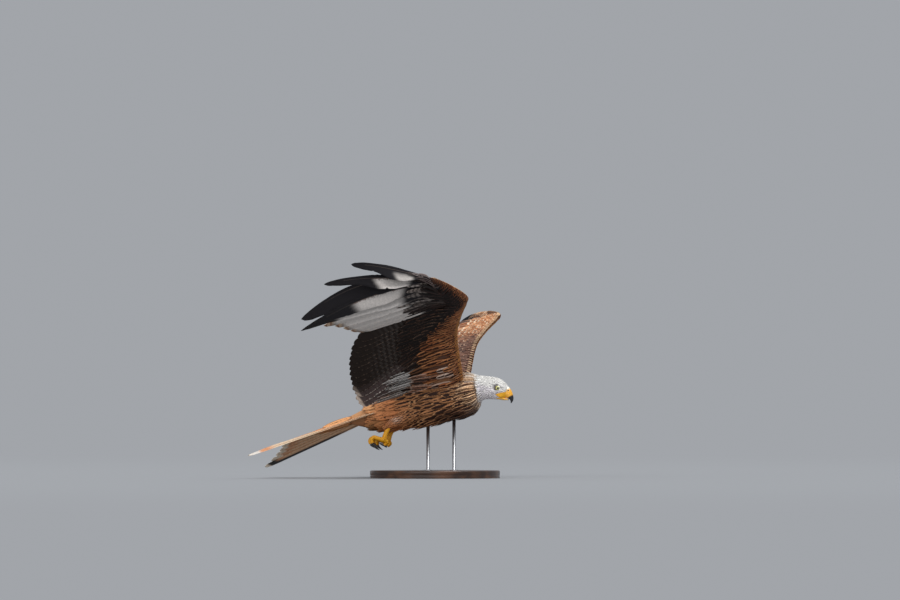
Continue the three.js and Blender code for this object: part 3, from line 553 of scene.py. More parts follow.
def markings(points):
    """The coat's colours at places of the bird's frame: vane, fringe and dark streak, with their widths."""
    x, y, z = np.moveaxis(np.asarray(points), -1, 0)
    head = from_bird(points)
    slim = 1 - step_up(np.abs(y), 0.038, 0.050)
    collar = x + 0.15 * z
    ragged = 0.004 * np.sin(900 * y + 1300 * z) + 0.003 * np.sin(2100 * z - 700 * x)
    ruff = step_up(collar, -0.030, 0.012) * slim
    throat = step_up(collar + ragged, 0.000, 0.032) * slim
    crown = step_up(collar + 1.3 * ragged, 0.018, 0.043) * slim
    # The lower half of the head is painted a cooler, darker grey than the crown: painted shade.
    lower_head_shade = crown * step_up(-head[..., 2], -0.002, 0.010)
    # Dark spots by the eye: behind it the bird's own dark mark; before it, on the lore, a painted shadow.
    brow = soft_spot(head[..., 0], head[..., 2], (-0.0125, 0.0034), (0.0042, 0.0016))
    lore_shade = soft_spot(head[..., 0], head[..., 2], (0.0092, 0.0030), (0.0034, 0.0024))
    eye_mark_and_shade = np.maximum(brow, lore_shade)
    low = step_up(-z, -0.02, 0.03)
    haunch = step_up(-x, 0.10, 0.18) * low
    rump = step_up(-x, 0.17, 0.24) * step_up(z, -0.07, -0.03)
    # Under the tail's root, the undertail coverts' own buff is darkened to brown as painted shade under the
    # body.
    vent_and_shade = step_up(-x, 0.16, 0.22) * step_up(-z, 0.050, 0.072)
    shoulder = step_up(np.abs(y), 0.050, 0.062) * step_up(z, -0.01, 0.02)
    # A small soft pale spot low on the thigh.
    thigh_pale_spot = soft_spot(x, z, (-0.152, -0.066), (0.014, 0.006))
    # The lower front of the breast, painted very dark: partly its own dark brown, partly painted shade under
    # the body.
    dark_breast_and_shade = step_up(x, -0.10, -0.02) * step_up(-z, 0.052, 0.085)
    plain = np.clip(step_up(-x, 0.10, 0.17) * low + step_up(-x, 0.16, 0.21), 0, 1)
    ground = layered(
        (160, 110, 72), ((172, 118, 78), step_up(-z, 0.0, 0.09)), ((208, 166, 124), ruff),
        ((192, 122, 76), haunch), ((224, 166, 114), rump), ((126, 90, 56), vent_and_shade), ((100, 62, 42), shoulder),
        ((232, 198, 176), 0.75 * thigh_pale_spot), ((60, 40, 33), 0.9 * dark_breast_and_shade), ((228, 206, 182), throat),
        ((230, 228, 222), crown), ((226, 219, 223), lower_head_shade), ((84, 78, 72), 0.85 * eye_mark_and_shade),
        ((244, 178, 40), gape(head)))
    fringe = layered(
        (204, 150, 104), ((234, 204, 168), ruff), ((228, 208, 184), throat), ((120, 84, 62), 0.8 * dark_breast_and_shade),
        ((238, 236, 230), crown), ((92, 86, 80), 0.8 * eye_mark_and_shade), (ground, 0.8 * plain))
    streak = layered((46, 27, 20), ((78, 46, 32), ruff), ((120, 88, 66), throat), ((186, 180, 182), crown))
    width = (0.48 + 0.06 * dark_breast_and_shade - 0.42 * plain) * (1 - 0.1 * ruff) * (1 - 0.75 * crown)
    return ground, fringe, streak, np.stack([width, 0.085 + 0.04 * throat, 0 * x], -1)


def stored(tree, key, output="Color"):
    """The socket of what every point of a mesh keeps under a name."""
    return joined(tree, "ShaderNodeAttribute", attribute_name=key).outputs[output]


skin_mesh = remeshed(*soft_body())
at = from_bird(from_room(coordinates(skin_mesh)))
from_eye = np.hypot(at[:, 0], at[:, 2]) / SOCKET_RADIUS
bed = SOCKET_BED + SOCKET_BRIM * step_up(from_eye, 0.72, 1.12)
sunk = (np.abs(at[:, 1]) > bed) & (from_eye < 1.12)
at[:, 1] = np.where(sunk, np.sign(at[:, 1]) * bed, at[:, 1])
skin_points = on_head(at)
skin_mesh.vertices.foreach_set("co", in_room(skin_points).astype(np.float32).ravel())
skin_mesh.update()
skin_colour, _, skin_dark, _ = markings(skin_points)
painted(skin_mesh, "ground", blend(skin_colour, skin_dark, 0.35 * (1 - gape(from_bird(skin_points)))))

hide, tree = new_material("skin_under_coat")
surfaced(tree, {
    "Base Color": stored(tree, "ground"), "Roughness": 0.8,
    "Normal": bumped(tree, noise(tree, in_place(tree), 900.0, 2.0), 0.4, 0.0008)})
skin_mesh.materials.clear()
fixed("skin", skin_mesh, hide, ["head", "neck", "torso", "thigh_left", "thigh_right"])

# The flight feathers: on each wing three tertials, twelve secondaries and ten primaries, the outer five of
# them narrowed more or less, so that their ends part into fingers. Each is a stiff shaft with a broad web
# behind it and a narrow one before it.
TERTIALS = 3
SECONDARIES = 12
SECONDARY_TIP_OUT = (0.050, 0.212)
ARM_TIPS_BACK, ARM_TIPS_CURVE, ARM_TIPS_POWER = -0.230, 0.067, 2.6
ARM_TIPS_BEND_FROM, ARM_TIPS_BEND_OVER = 0.079, 0.137
ARM_TIPS_SLOPE, ARM_TIPS_LOW = 0.8667, 0.0553
HAND_ROOTS_FROM, HAND_ROOTS_OVER = 0.04, 0.92
INNER_STRETCH = 2.2
PRIMARIES = np.array([
    # reach from the wrist, sweep out from straight back, lift, bow as a share of the length
    [0.266, 4, -6, 0.025], [0.278, 10.8, -5.6, 0.025], [0.296, 17.8, -4.4, 0.025], [0.322, 24.8, -3.4, 0.025],
    [0.364, 32, -3.2, 0.025], [0.436, 39.2, -4.2, 0.035], [0.480, 44.8, -4.8, 0.06], [0.490, 47.8, -2, 0.092],
    [0.443, 53.2, 6.7, 0.03], [0.378, 57, 13.7, 0.025],
])
FIRST_PRIMARY = TERTIALS + SECONDARIES
FLIGHT_COUNT = FIRST_PRIMARY + len(PRIMARIES)
BOW_ARM = 0.02
ARCH_ARM, ARCH_HAND = 0.035, 0.015
VANE_TILT = 10.0
WEBS = {
    # share of the length, half width before and behind the shaft in millimetres
    "secondary": [[0, 1.2, 2.0], [0.1, 4.5, 7], [0.24, 8, 15], [0.55, 9, 21], [0.86, 9, 23], [0.96, 8, 19],
                  [1, 5, 10]],
    "primary": [[0, 1.2, 2.0], [0.1, 3.5, 7], [0.2, 6, 15], [0.6, 8, 28], [0.88, 8, 26], [0.96, 6, 18],
                [1, 3, 7]],
    "long": [[0, 1.2, 2.0], [0.1, 3.5, 7], [0.2, 6.5, 17], [0.4, 8, 30], [0.66, 9.4, 28], [0.80, 11, 18.5],
             [0.92, 9.4, 10.5], [0.97, 6, 6.2], [1, 1.6, 2]],
    "full": [[0, 1.2, 2.0], [0.1, 3.5, 7], [0.2, 6.5, 17], [0.4, 8, 30], [0.66, 8, 30], [0.82, 6.8, 28.5],
             [0.92, 5.4, 20.5], [0.97, 3.6, 11.5], [1, 1.6, 3.4]],
    "finger": [[0, 1.2, 2.0], [0.08, 3.5, 6], [0.16, 6, 13], [0.36, 8, 26], [0.52, 8, 26], [0.60, 7, 18],
               [0.68, 6.2, 13.5], [0.84, 5.6, 11], [0.95, 3.8, 6.6], [1, 1.4, 2]],
}
WINDOW = {
    # where the pale part of each primary's web begins and ends, and how pale it is
    "starts": [0.40, 0.40, 0.40, 0.38, 0.34, 0.31, 0.29, 0.18, 0.24, 0.24],
    "ends": [0.96, 0.96, 0.96, 0.94, 0.92, 0.78, 0.61, 0.22, 0.52, 0.46],
    "tones": [1, 1, 1, 1, 1, 1, 0.95, 0.89, 1.08, 0.68],
}
SHAFT_COLUMNS = np.array([-1, -0.97, -0.7, -0.4, -0.12, -0.05, 0.05, 0.3, 0.65, 0.94, 1.0])
FLIGHT_ROWS = 66
FLIGHT_KINDS = ["secondary"] * FIRST_PRIMARY + ["primary"] * 5 + ["long"] * 2 + ["full"] + ["finger"] * 2
BARB_PITCH, BARB_SLANT = 0.0013, 0.009
QUILL_THICK, QUILL_TIP = 0.0016, 0.0004
BAR_SHIFT, GOLDEN = 0.013, 0.618
END_FROM, END_OVER = 0.965, 0.0352


def flight_frame(hand):
    """Roots, tips, upward and leading directions of the flight feathers of a left wing, and how far out on
    its bones they are rooted before the hand is swung."""
    j = np.arange(FIRST_PRIMARY)
    out = SECONDARY_TIP_OUT[0] + (SECONDARY_TIP_OUT[1] - SECONDARY_TIP_OUT[0]) * j / (FIRST_PRIMARY - 1)
    sweep = np.maximum(0, (out - ARM_TIPS_BEND_FROM) / ARM_TIPS_BEND_OVER) ** ARM_TIPS_POWER
    arm_tips = np.stack([
        ARM_TIPS_BACK + ARM_TIPS_CURVE * sweep, out, ARM_TIPS_SLOPE * out - ARM_TIPS_LOW], -1)
    on_arm = ((j - TERTIALS + 0.5) / SECONDARIES)[:, None]
    arm_roots = ELBOW + np.where(on_arm > 0, WRIST - ELBOW, (ELBOW - SHOULDER) * INNER_STRETCH) * on_arm
    reach, splay, lift = PRIMARIES[:, 0], np.radians(PRIMARIES[:, 1]), np.radians(PRIMARIES[:, 2])
    on_hand = HAND_ROOTS_FROM + HAND_ROOTS_OVER * np.arange(len(PRIMARIES)) / (len(PRIMARIES) - 1)
    hand_roots = WRIST + (HAND_TIP - WRIST) * on_hand[:, None]
    flat = reach * np.cos(lift)
    hand_tips = WRIST + np.stack([-flat * np.cos(splay), flat * np.sin(splay), reach * np.sin(lift)], -1)
    root = np.vstack([arm_roots, swung(hand_roots, hand)])
    tip = np.vstack([arm_tips, swung(hand_tips, hand)])
    along = unit(tip - root)
    number = np.arange(FLIGHT_COUNT)
    before, after = np.maximum(number - 1, 0), np.minimum(number + 1, FLIGHT_COUNT - 1)
    ups = np.stack([unit(np.cross(end[after] - end[before], along)) for end in (root, tip)])
    return {
        "root": root, "tip": tip, "length": np.linalg.norm(tip - root, axis=1), "ups": ups,
        "across": np.cross(along, ups), "bow": np.r_[np.full(FIRST_PRIMARY, BOW_ARM), PRIMARIES[:, 3]],
        "arch": np.where(number >= FIRST_PRIMARY, ARCH_HAND, ARCH_ARM),
        "bone_out": np.r_[arm_roots[:, 1], hand_roots[:, 1]],
    }


def on_sheet(flight, place, share):
    """Places on the arched sheet of flight feathers, with the ways up from it and forward across it."""
    j = np.clip(np.floor(place).astype(int), 0, FLIGHT_COUNT - 2)
    f, s = (place - j)[..., None], share[..., None]
    found = []
    for k in (j, j + 1):
        lift = (4 * share * (1 - share) * flight["length"][k])[..., None]
        up, across = (unit(flight[key][0][k] * (1 - s) + flight[key][1][k] * s) for key in ("ups", "across"))
        sheet = flight["root"][k] * (1 - s) + flight["tip"][k] * s
        sheet = sheet + across * flight["bow"][k][..., None] * lift + up * flight["arch"][k][..., None] * lift
        found.append((sheet, up, across))
    return tuple(a * (1 - f) + b * f for a, b in zip(*found))


def tilted(side, up, degrees):
    """The way across a vane, its leading edge raised."""
    return side * math.cos(math.radians(degrees)) + up * math.sin(math.radians(degrees))


def bent_spine(root, tip, sides, t, lengths, bow, arch):
    """Points root + (tip - root) t + 4 t (1 - t) L (side bow + over arch), with side and over at each; side
    goes from the first of sides to the second, kept square to the feather."""
    span = tip - root
    along = unit(span)[:, None]
    side = sides[0][:, None] * (1 - t)[None, :, None] + sides[1][:, None] * t[None, :, None]
    side = unit(side - along * (side * along).sum(-1, keepdims=True))
    over = np.cross(side, np.broadcast_to(along, side.shape))
    lift = 4 * t * (1 - t) * np.reshape(lengths, (-1, 1))
    bow, arch = np.reshape(bow, (-1, 1)), np.reshape(arch, (-1, 1))
    spine = root[:, None] + span[:, None] * t[None, :, None]
    return spine + side * (bow * lift)[..., None] + over * (arch * lift)[..., None], side, over


def vanes(root, tip, sides, t, s, lead, trail, thick, bow=0.0, arch=0.0, camber=0.0):
    """Closed thin vanes. Point = spine + side w - over camber w w, w from -trail to lead; the middle stands
    half a thickness above and below that, and the rim is shared."""
    spine, side, over = bent_spine(root, tip, sides, t, np.linalg.norm(tip - root, axis=1), bow, arch)
    w = np.where(s > 0, lead[..., None] * s, trail[..., None] * s)
    hollow = over[:, :, None] * (camber * w * w)[..., None]
    flat = spine[:, :, None] + side[:, :, None] * w[..., None] - hollow
    inside = np.zeros((len(t), len(s)))
    inside[1:-1, 1:-1] = thick / 2
    swell = over[:, :, None] * inside[..., None]
    above, below = flat + swell, (flat - swell)[:, 1:-1, 1:-1]
    return np.concatenate([half.reshape(len(root), -1, 3) for half in (above, below)], axis=1)


def vane_faces(rows, cols):
    """The quads of one closed vane: above, then below with the points of the rim shared."""
    top = np.arange(rows * cols).reshape(rows, cols)
    low = top.copy()
    low[1:-1, 1:-1] = rows * cols + np.arange((rows - 2) * (cols - 2)).reshape(rows - 2, cols - 2)
    up = np.stack([top[:-1, :-1], top[:-1, 1:], top[1:, 1:], top[1:, :-1]], -1).reshape(-1, 4)
    down = np.stack([low[:-1, :-1], low[1:, :-1], low[1:, 1:], low[:-1, 1:]], -1).reshape(-1, 4)
    return np.vstack([up, down])


def each_point(grid, above=None):
    """Values of a rows by columns grid, for all points of a closed vane in order: the upper face, which may
    have values of its own inside the rim, then the lower."""
    top = grid.copy()
    if above is not None:
        top[1:-1, 1:-1] = above[1:-1, 1:-1]
    return np.concatenate([half.reshape(-1, *grid.shape[2:]) for half in (top, grid[1:-1, 1:-1])])


def patches(across, along, size):
    """The corners of the patches that vanes have on the map OFBake, and the patches' size."""
    return np.stack(np.broadcast_arrays(across, along), -1), size


def feathers(name, side, points, t, s, lengths, colours, patch, material, replaced=()):
    """One mesh of many vanes, mirrored for the right side, with what the material reads: lie (across, along,
    metres from the root), the colours ground, fringe and streak, and marks (widths of streak and fringe,
    strength of bars)."""
    n, each = points.shape[:2]
    faces = np.array(outward(vane_faces(len(t), len(s)), side))
    every = (faces[None] + each * np.arange(n)[:, None, None]).reshape(-1, 4)
    mesh = bpy.data.meshes.new(name)
    mesh.vertices.add(n * each)
    mesh.vertices.foreach_set("co", in_room(sided(points, side).reshape(-1, 3)).astype(np.float32).ravel())
    mesh.loops.add(every.size)
    mesh.loops.foreach_set("vertex_index", every.astype(np.int32).ravel())
    mesh.polygons.add(len(every))
    mesh.polygons.foreach_set("loop_start", np.arange(0, every.size, 4, dtype=np.int32))
    mesh.update(calc_edges=True)
    across, along = (each_point(grid) for grid in np.meshgrid(s, t))
    shift = BAR_SHIFT * (np.arange(n) * GOLDEN % 1)[:, None]
    lie = np.stack(np.broadcast_arrays(across, along, along * np.reshape(lengths, (-1, 1)) + shift), -1)
    layer = mesh.attributes.new("lie", "FLOAT_VECTOR", "POINT")
    layer.data.foreach_set("vector", lie.astype(np.float32).ravel())
    for key, values in zip(("ground", "fringe", "streak", "marks"), colours):
        values = values[:, None] if values.ndim == 2 else values
        painted(mesh, key, np.broadcast_to(values, (n, each, 3)).reshape(-1, 3))
    corner, size = patch
    bake = np.stack([corner[:, :1] + (0.5 + 0.5 * across) * size[0], corner[:, 1:] + along * size[1]], -1)
    layer = mesh.uv_layers.new(name="OFBake")
    layer.uv.foreach_set("vector", bake.reshape(-1, 2)[every.ravel()].astype(np.float32).ravel())
    fixed(name, mesh, material, replaced)


def feather_material(name, bar_pitch=0.012, bar_share=0.42, gloss=0.62, sheen=0.0, point=1.0, tip_edge=1.0):
    """A vane's colours in the order they are laid: ground, bars across, streak along the shaft, fringe."""
    material, tree = new_material(name)

    def worked(operation, *values):
        return joined(tree, "ShaderNodeMath", dict(enumerate(values)), operation=operation).outputs[0]

    def plus(a, b):
        return worked("ADD", a, b)

    def less(a, b):
        return worked("SUBTRACT", a, b)

    def times(a, b):
        return worked("MULTIPLY", a, b)

    def ramp(value, low, high):
        return joined(tree, "ShaderNodeMapRange", {"Value": value, "From Min": low, "From Max": high},
                      interpolation_type="SMOOTHSTEP").outputs[0]

    def split(key):
        return joined(tree, "ShaderNodeSeparateXYZ", {0: stored(tree, key, "Vector")}).outputs

    across, along, metres = split("lie")
    streak_width, rim_width, bar_strength = split("marks")
    ground, fringe, streak = (stored(tree, key) for key in ("ground", "fringe", "streak"))
    fray = less(noise(tree, in_place(tree), 260.0, 2.0), 0.5)
    from_shaft = worked("ABSOLUTE", across)
    ragged = plus(from_shaft, times(fray, 0.5))

    wave = worked("SINE", plus(times(metres, 2 * math.pi / bar_pitch), times(ragged, 2.4)))
    bars = times(ramp(wave, 1 - 2 * bar_share - 0.25, 1 - 2 * bar_share + 0.25), bar_strength)
    towards_tip = less(1.0, times(worked("POWER", along, 7.0), point))
    width = times(times(streak_width, plus(times(along, 0.9), 0.4)), towards_tip)
    dark = times(less(1.0, ramp(less(ragged, width), -0.10, 0.10)), ramp(streak_width, 0.0, 0.04))
    edge = worked("MAXIMUM", times(ragged, 0.97), times(along, tip_edge))
    first = less(1.0, times(rim_width, 1.6))
    pale = times(ramp(less(edge, first), 0.0, 0.12), ramp(rim_width, 0.0, 0.04))
    colour = mixed(tree, mixed(tree, mixed(tree, ground, streak, bars), streak, dark), fringe, pale)

    barb = worked("SINE", times(less(metres, times(from_shaft, BARB_SLANT)), 2 * math.pi / BARB_PITCH))
    shade = plus(times(barb, 0.05), plus(times(fray, 0.5), 1.0))
    toned = joined(tree, "ShaderNodeVectorMath", {0: colour, "Scale": shade}, operation="SCALE").outputs[0]
    surfaced(tree, {
        "Base Color": toned, "Roughness": gloss, "Specular IOR Level": 0.18, "Sheen Weight": sheen,
        "Sheen Roughness": 0.5, "Normal": bumped(tree, barb, 0.25, 0.0003)})
    return material


def by_station(table, t):
    """Half widths before and behind the shaft at shares of its length, in metres, with a rounded end."""
    table = np.array(table, float)
    end = np.sqrt(np.clip(1 - ((t - END_FROM) / END_OVER).clip(0) ** 2, 0, 1))
    return tuple(np.interp(t, table[:, 0], table[:, k]) * 0.001 * end for k in (1, 2))


def worn(rng, lead, trail, splits):
    """Notches in the edges of vanes where the barbs have parted, each two rows long."""
    n, rows = lead.shape
    for web, depth in ((lead, 0.12), (trail, 0.16)):
        for _ in range(splits):
            row = rng.integers(int(rows * 0.3), rows - 3, n)
            web[np.arange(n), row] *= 1 - depth * rng.random(n)
    return lead, trail


def flight_colours(t, s, rng):
    """The colours of flight feathers over rows and columns: dark, with the pale window of the primaries."""
    place, tt, ss = np.broadcast_arrays(np.arange(FLIGHT_COUNT)[:, None, None], t[:, None], s)
    k = np.clip(place - FIRST_PRIMARY, 0, 9)
    hand = place >= FIRST_PRIMARY
    barred = hand & (k <= 4)
    starts, ends, tones = (np.array(WINDOW[row])[k] for row in ("starts", "ends", "tones"))
    slant = 0.05 * (1 + ss)
    opens = step_up(tt + slant, starts - 0.03, starts + 0.05)
    window = opens * (1 - step_up(tt - slant, ends - 0.07, ends)) * hand
    narrow = np.where(k == 9, 0.30, 0.02)
    behind = np.maximum(step_up(-ss, narrow - 0.02, narrow + 0.12), (k == 8) * (1 - step_up(tt, 0.30, 0.40)))
    window = window * np.where(k <= 2, 1.0, behind)
    inner = 1 - step_up(place, 0.3, 4.2)
    tips = step_up(tt, ends - 0.03, ends + 0.03) * barred
    strand = 1 + 0.22 * (rng.random((FLIGHT_COUNT, 1, len(s))) * 2 - 1)
    # Each web is painted darker down the middle of its trailing half: partly its own streaky tone, partly
    # painted shade that gives the webs relief.
    strand = strand * (0.80 + 0.20 * step_up(np.abs(ss + 0.5), 0, 0.45))
    ground = layered(
        (36, 27, 22), ((90, 74, 72), 0.9 * inner), ((26, 23, 26), hand),
        (linear(226, 218, 211) * (tones * strand)[..., None], window), ((208, 180, 150), tips * 0.9),
        ((226, 206, 188), inner * step_up(tt, 0.955, 0.975) * ~hand))
    bar_colour = layered((96, 90, 86), ((112, 62, 38), hand), ((122, 112, 106), window))
    fringe = layered(
        (112, 94, 82), ((230, 218, 206), inner), ((96, 88, 88), hand), ((238, 220, 196), barred))
    bars = np.where(hand, 0.8 * tips + 0.05 * window, 0.26 * (1 - step_up(tt, 0.66, 0.90)) + 0.20 * inner)
    bars_above = np.where(hand, bars + 0.24 * window, 0.4 * bars)
    rim = np.where(hand, np.where(k <= 4, 0.030, 0.012), 0.060 + 0.02 * inner)
    below = [ground, fringe, bar_colour, np.stack([0.14 * window, rim, bars], -1)]
    above = [
        layered(ground, ((104, 92, 84), 0.8 * window * (1 - tips))), fringe,
        layered(bar_colour, ((52, 44, 40), window)), np.stack([0.14 * window, rim, bars_above], -1)]
    return [np.stack([each_point(row, top) for row, top in zip(*pair)]) for pair in zip(below, above)]


def shaft_tubes(root, tip, sides, lengths, bow, arch, base):
    """Four-sided tapering shafts that follow the vanes, standing a little out of both faces."""
    t = np.linspace(0, 0.97, 26)
    spine, side, over = bent_spine(root, tip, sides, t, lengths, bow, arch)
    thick = (base * (1 - t) + QUILL_TIP)[None, :, None, None] / 2
    a = np.array([1.75, 1.25, 0.75, 0.25]) * math.pi
    ring = side[:, :, None] * np.cos(a)[:, None] * 1.2 + over[:, :, None] * np.sin(a)[:, None] * 1.25
    return spine[:, :, None] + ring * thick


wing_material = feather_material("wing_vanes", bar_pitch=0.013, gloss=0.6, point=0.4, tip_edge=0.9)
quill, tree = new_material("quill_horn")
surfaced(tree, {"Base Color": paint(72, 60, 52), "Roughness": 0.38})
FLIGHT = {side: flight_frame(hand) for side, hand in HANDS.items()}


def quills(name, side, rings, slot):
    """All the shafts of one fan of feathers as one mesh, mirrored for the right side."""
    points, faces = gathered([loft(ring) for ring in rings])
    piece(name, in_room(sided(points, side)), outward(faces, side), quill, slot)


for side, flight in FLIGHT.items():
    rng = np.random.default_rng(5)
    number = np.arange(FLIGHT_COUNT)
    t = np.linspace(0, 1, FLIGHT_ROWS) ** 0.92
    lead, trail = (np.array([by_station(WEBS[kind], t)[k] for kind in FLIGHT_KINDS]) for k in (0, 1))
    lead, trail = worn(rng, lead, trail, 3)
    leans = [tilted(flight["across"][k], flight["ups"][k], VANE_TILT) for k in (0, 1)]
    uneven = 0.005 * (rng.random(FLIGHT_COUNT) - 0.5) * (number < FIRST_PRIMARY)
    ends = flight["tip"] + unit(flight["tip"] - flight["root"]) * uneven[:, None]
    bend = flight["bow"], flight["arch"]
    points = vanes(flight["root"], ends, leans, t, SHAFT_COLUMNS, lead, trail, 0.0006, *bend, camber=1.6)
    patch = patches(0.01 + 0.98 * number / FLIGHT_COUNT, 0.01, (0.98 / FLIGHT_COUNT * 0.9, 0.98))
    feathers(f"flight_feathers_{side}", side, points, t, SHAFT_COLUMNS, flight["length"],
             flight_colours(t, SHAFT_COLUMNS, rng), patch, wing_material, [f"wing_{side}"])
    rings = shaft_tubes(flight["root"], ends, leans, flight["length"], *bend, QUILL_THICK)
    quills(f"flight_shafts_{side}", side, rings, "wing_feathers")

# The coverts: rows of small overlapping feathers that streamline the wing above and below, from the long
# greater ones over the shafts to tiny ones along the leading edge, each fixed by its quill in the skin.
COVERT_T = np.array([0, 0.14, 0.38, 0.64, 0.82, 0.94, 1.0])
COVERT_S = np.array([-1, -0.5, 0, 0.5, 1.0])
ROUND_WEB = np.array([[0, 0.3], [0.14, 0.7], [0.38, 0.96], [0.64, 1.0], [0.82, 0.9], [0.94, 0.58], [1, 0.1]])
LANCE_WEB = np.array([
    [0, 0.35], [0.2, 0.8], [0.45, 1.0], [0.66, 0.92], [0.82, 0.68], [0.94, 0.34], [1, 0.05]])
POINTED_WEB = np.array([[0, 0.35], [0.2, 0.85], [0.45, 1.0], [0.7, 0.76], [0.88, 0.4], [1, 0.06]])
UNDER_ROWS = [
    # distance of the tips behind the leading edge on arm and hand, length on arm and hand, half width, count
    [0.158, 0.150, 0.085, 0.075, 0.0072, 32], [0.128, 0.122, 0.072, 0.062, 0.0070, 32],
    [0.102, 0.098, 0.060, 0.052, 0.0068, 32], [0.080, 0.077, 0.050, 0.043, 0.0066, 32],
    [0.062, 0.059, 0.042, 0.035, 0.0064, 32], [0.047, 0.044, 0.034, 0.028, 0.0060, 32],
    [0.034, 0.031, 0.026, 0.022, 0.0054, 40], [0.023, 0.021, 0.019, 0.0165, 0.0046, 50],
    [0.0145, 0.013, 0.0125, 0.0115, 0.0038, 64], [0.0085, 0.007, 0.0085, 0.0068, 0.0030, 86],
]
UPPER_ROWS = [
    [0.142, 0.118, 0.078, 0.066, 0.0092, 26], [0.112, 0.094, 0.060, 0.050, 0.0088, 29],
    [0.090, 0.074, 0.046, 0.038, 0.0078, 34], [0.072, 0.058, 0.036, 0.030, 0.0068, 39],
    [0.057, 0.045, 0.030, 0.026, 0.0060, 45], [0.044, 0.035, 0.026, 0.022, 0.0054, 51],
    [0.033, 0.026, 0.022, 0.018, 0.0048, 58], [0.023, 0.018, 0.018, 0.014, 0.0042, 66],
    [0.014, 0.011, 0.013, 0.010, 0.0036, 76], [0.008, 0.006, 0.0075, 0.0055, 0.0030, 88],
]
ARM_START, HAND_END = -2.9, 24.2
CLEAR_ABOVE, CLEAR_BELOW, CLEAR_BELOW_REAR = 0.0022, 0.0046, 0.0022
DECK_THICK = 0.0006
QUILL_SUNK = 0.0006


def wing_deck(side, place, back, face):
    """A place on the feathered surface above (face 1) or below (-1) the wing, back metres behind its leading
    edge; also the way up there and the way forward across a feather."""
    flight = FLIGHT[side]
    number, bone_out = np.arange(FLIGHT_COUNT), flight["bone_out"]
    y = np.interp(place, np.r_[-3, number], np.r_[bone_out[0] - 3 * (bone_out[1] - bone_out[0]), bone_out])
    at = np.interp(y, ARM_SECTIONS[:, 1], np.arange(len(ARM_SECTIONS)))
    row = smooth_rows(arm_sections(HANDS[side]), at)
    lead, across_flesh, thick = row[..., 0:3], row[..., 3:6] - row[..., 0:3], row[..., 6]
    by_chord = back / np.linalg.norm(across_flesh, axis=-1)
    root = on_sheet(flight, place, np.zeros_like(place))[0]
    to_root = np.maximum(np.linalg.norm(root - lead, axis=-1), 0.004)
    share = np.clip((back - to_root) / np.interp(place, number, flight["length"]), 0, 1)
    sheet, up, across = on_sheet(flight, place, share)
    front = lead + (root - lead) * (back / to_root)[..., None]
    base = np.where((back < to_root)[..., None], front, sheet)
    clear = CLEAR_ABOVE * step_up(back, 0.0, 0.028)
    if face < 0:
        on_meat = (1 - step_up(by_chord, 0.75, 1.4))[..., None]
        base = (lead + across_flesh * by_chord[..., None]) * on_meat + base * (1 - on_meat)
        clear = CLEAR_BELOW * step_up(back, 0.0, 0.028) + CLEAR_BELOW_REAR * step_up(back, 0.08, 0.14)
    x = np.clip(by_chord, 0, 1)
    meat = thick * np.sqrt(x * (1 - x)) * (1.25 - 0.75 * x)
    height = np.sqrt(meat ** 2 + clear ** 2) + DECK_THICK
    return base + up * (face * height)[..., None], up, across


def web(table, t, half):
    """Half widths of small feathers: a profile over the length times each feather's own half width."""
    return np.interp(t, table[:, 0], table[:, 1])[None] * np.reshape(half, (-1, 1))


def pick(rng, colours, spread, count=None):
    """Every feather's own shade of its colour."""
    return colours * (1 + spread * (rng.random((count or len(colours), 1)) * 2 - 1))


def under_colours(rng, place, back):
    """Underwing coverts: rufous with dark centres, then dark brown with pale edges; darker at the wrist."""
    n = len(place)
    dice = rng.random(n)
    red = layered((142, 84, 50), ((182, 122, 78), rng.random(n)))
    brown = layered((44, 31, 27), ((92, 66, 52), step_up(rng.random(n), 0.55, 1.1)))
    front = layered((84, 44, 32), ((158, 80, 44), step_up(dice, 0.50, 0.8)))
    rear = step_up(back - np.maximum(0.129 - 0.0076 * place, 0.022), -0.014, 0.014)
    hand = step_up(place, 11.0, 15.0)
    edge = 1 - step_up(back, 0.007, 0.014)
    grey = hand * step_up(back, 0.088, 0.112) * step_up(place, 15.0, 18.0)
    outer = step_up(place, 21.4, 23.0) * step_up(back, 0.028, 0.040) * (1 - step_up(back, 0.072, 0.090))
    pit = (1 - step_up(np.abs(place + 1.4), 0.8, 1.4)) * step_up(back, 0.030, 0.045)
    pit = pit * (1 - step_up(back, 0.085, 0.100)) * step_up(dice, 0.5, 0.7)
    ground = layered(
        red, (brown, rear), (front, hand * (1 - rear) * step_up(back, 0.012, 0.020)),
        ((46, 31, 28), 0.85 * hand * rear), (layered((92, 82, 76), ((176, 164, 156), dice)), grey),
        (layered((168, 112, 60), ((96, 54, 34), hand)), edge * (1 - 0.6 * hand * dice)),
        (layered((128, 108, 104), ((206, 190, 186), dice)), outer), ((206, 178, 160), pit))
    fringe = layered((190, 130, 84), ((134, 112, 94), rear), ((104, 68, 54), hand), ((176, 170, 164), grey))
    streak = layered((44, 22, 14), ((22, 17, 15), np.maximum(rear, hand)), ((52, 44, 42), grey))
    width = (0.40 + 0.16 * rear) * (1 - 0.6 * edge) * (0.6 + 0.7 * rng.random(n))
    rim = 0.014 + 0.075 * rear * (1 - hand) + 0.02 * grey
    marks = np.stack([width * (1 - 0.75 * grey), rim, 0.75 * grey], -1)
    return [pick(rng, ground, 0.2), pick(rng, fringe, 0.2), streak, marks]


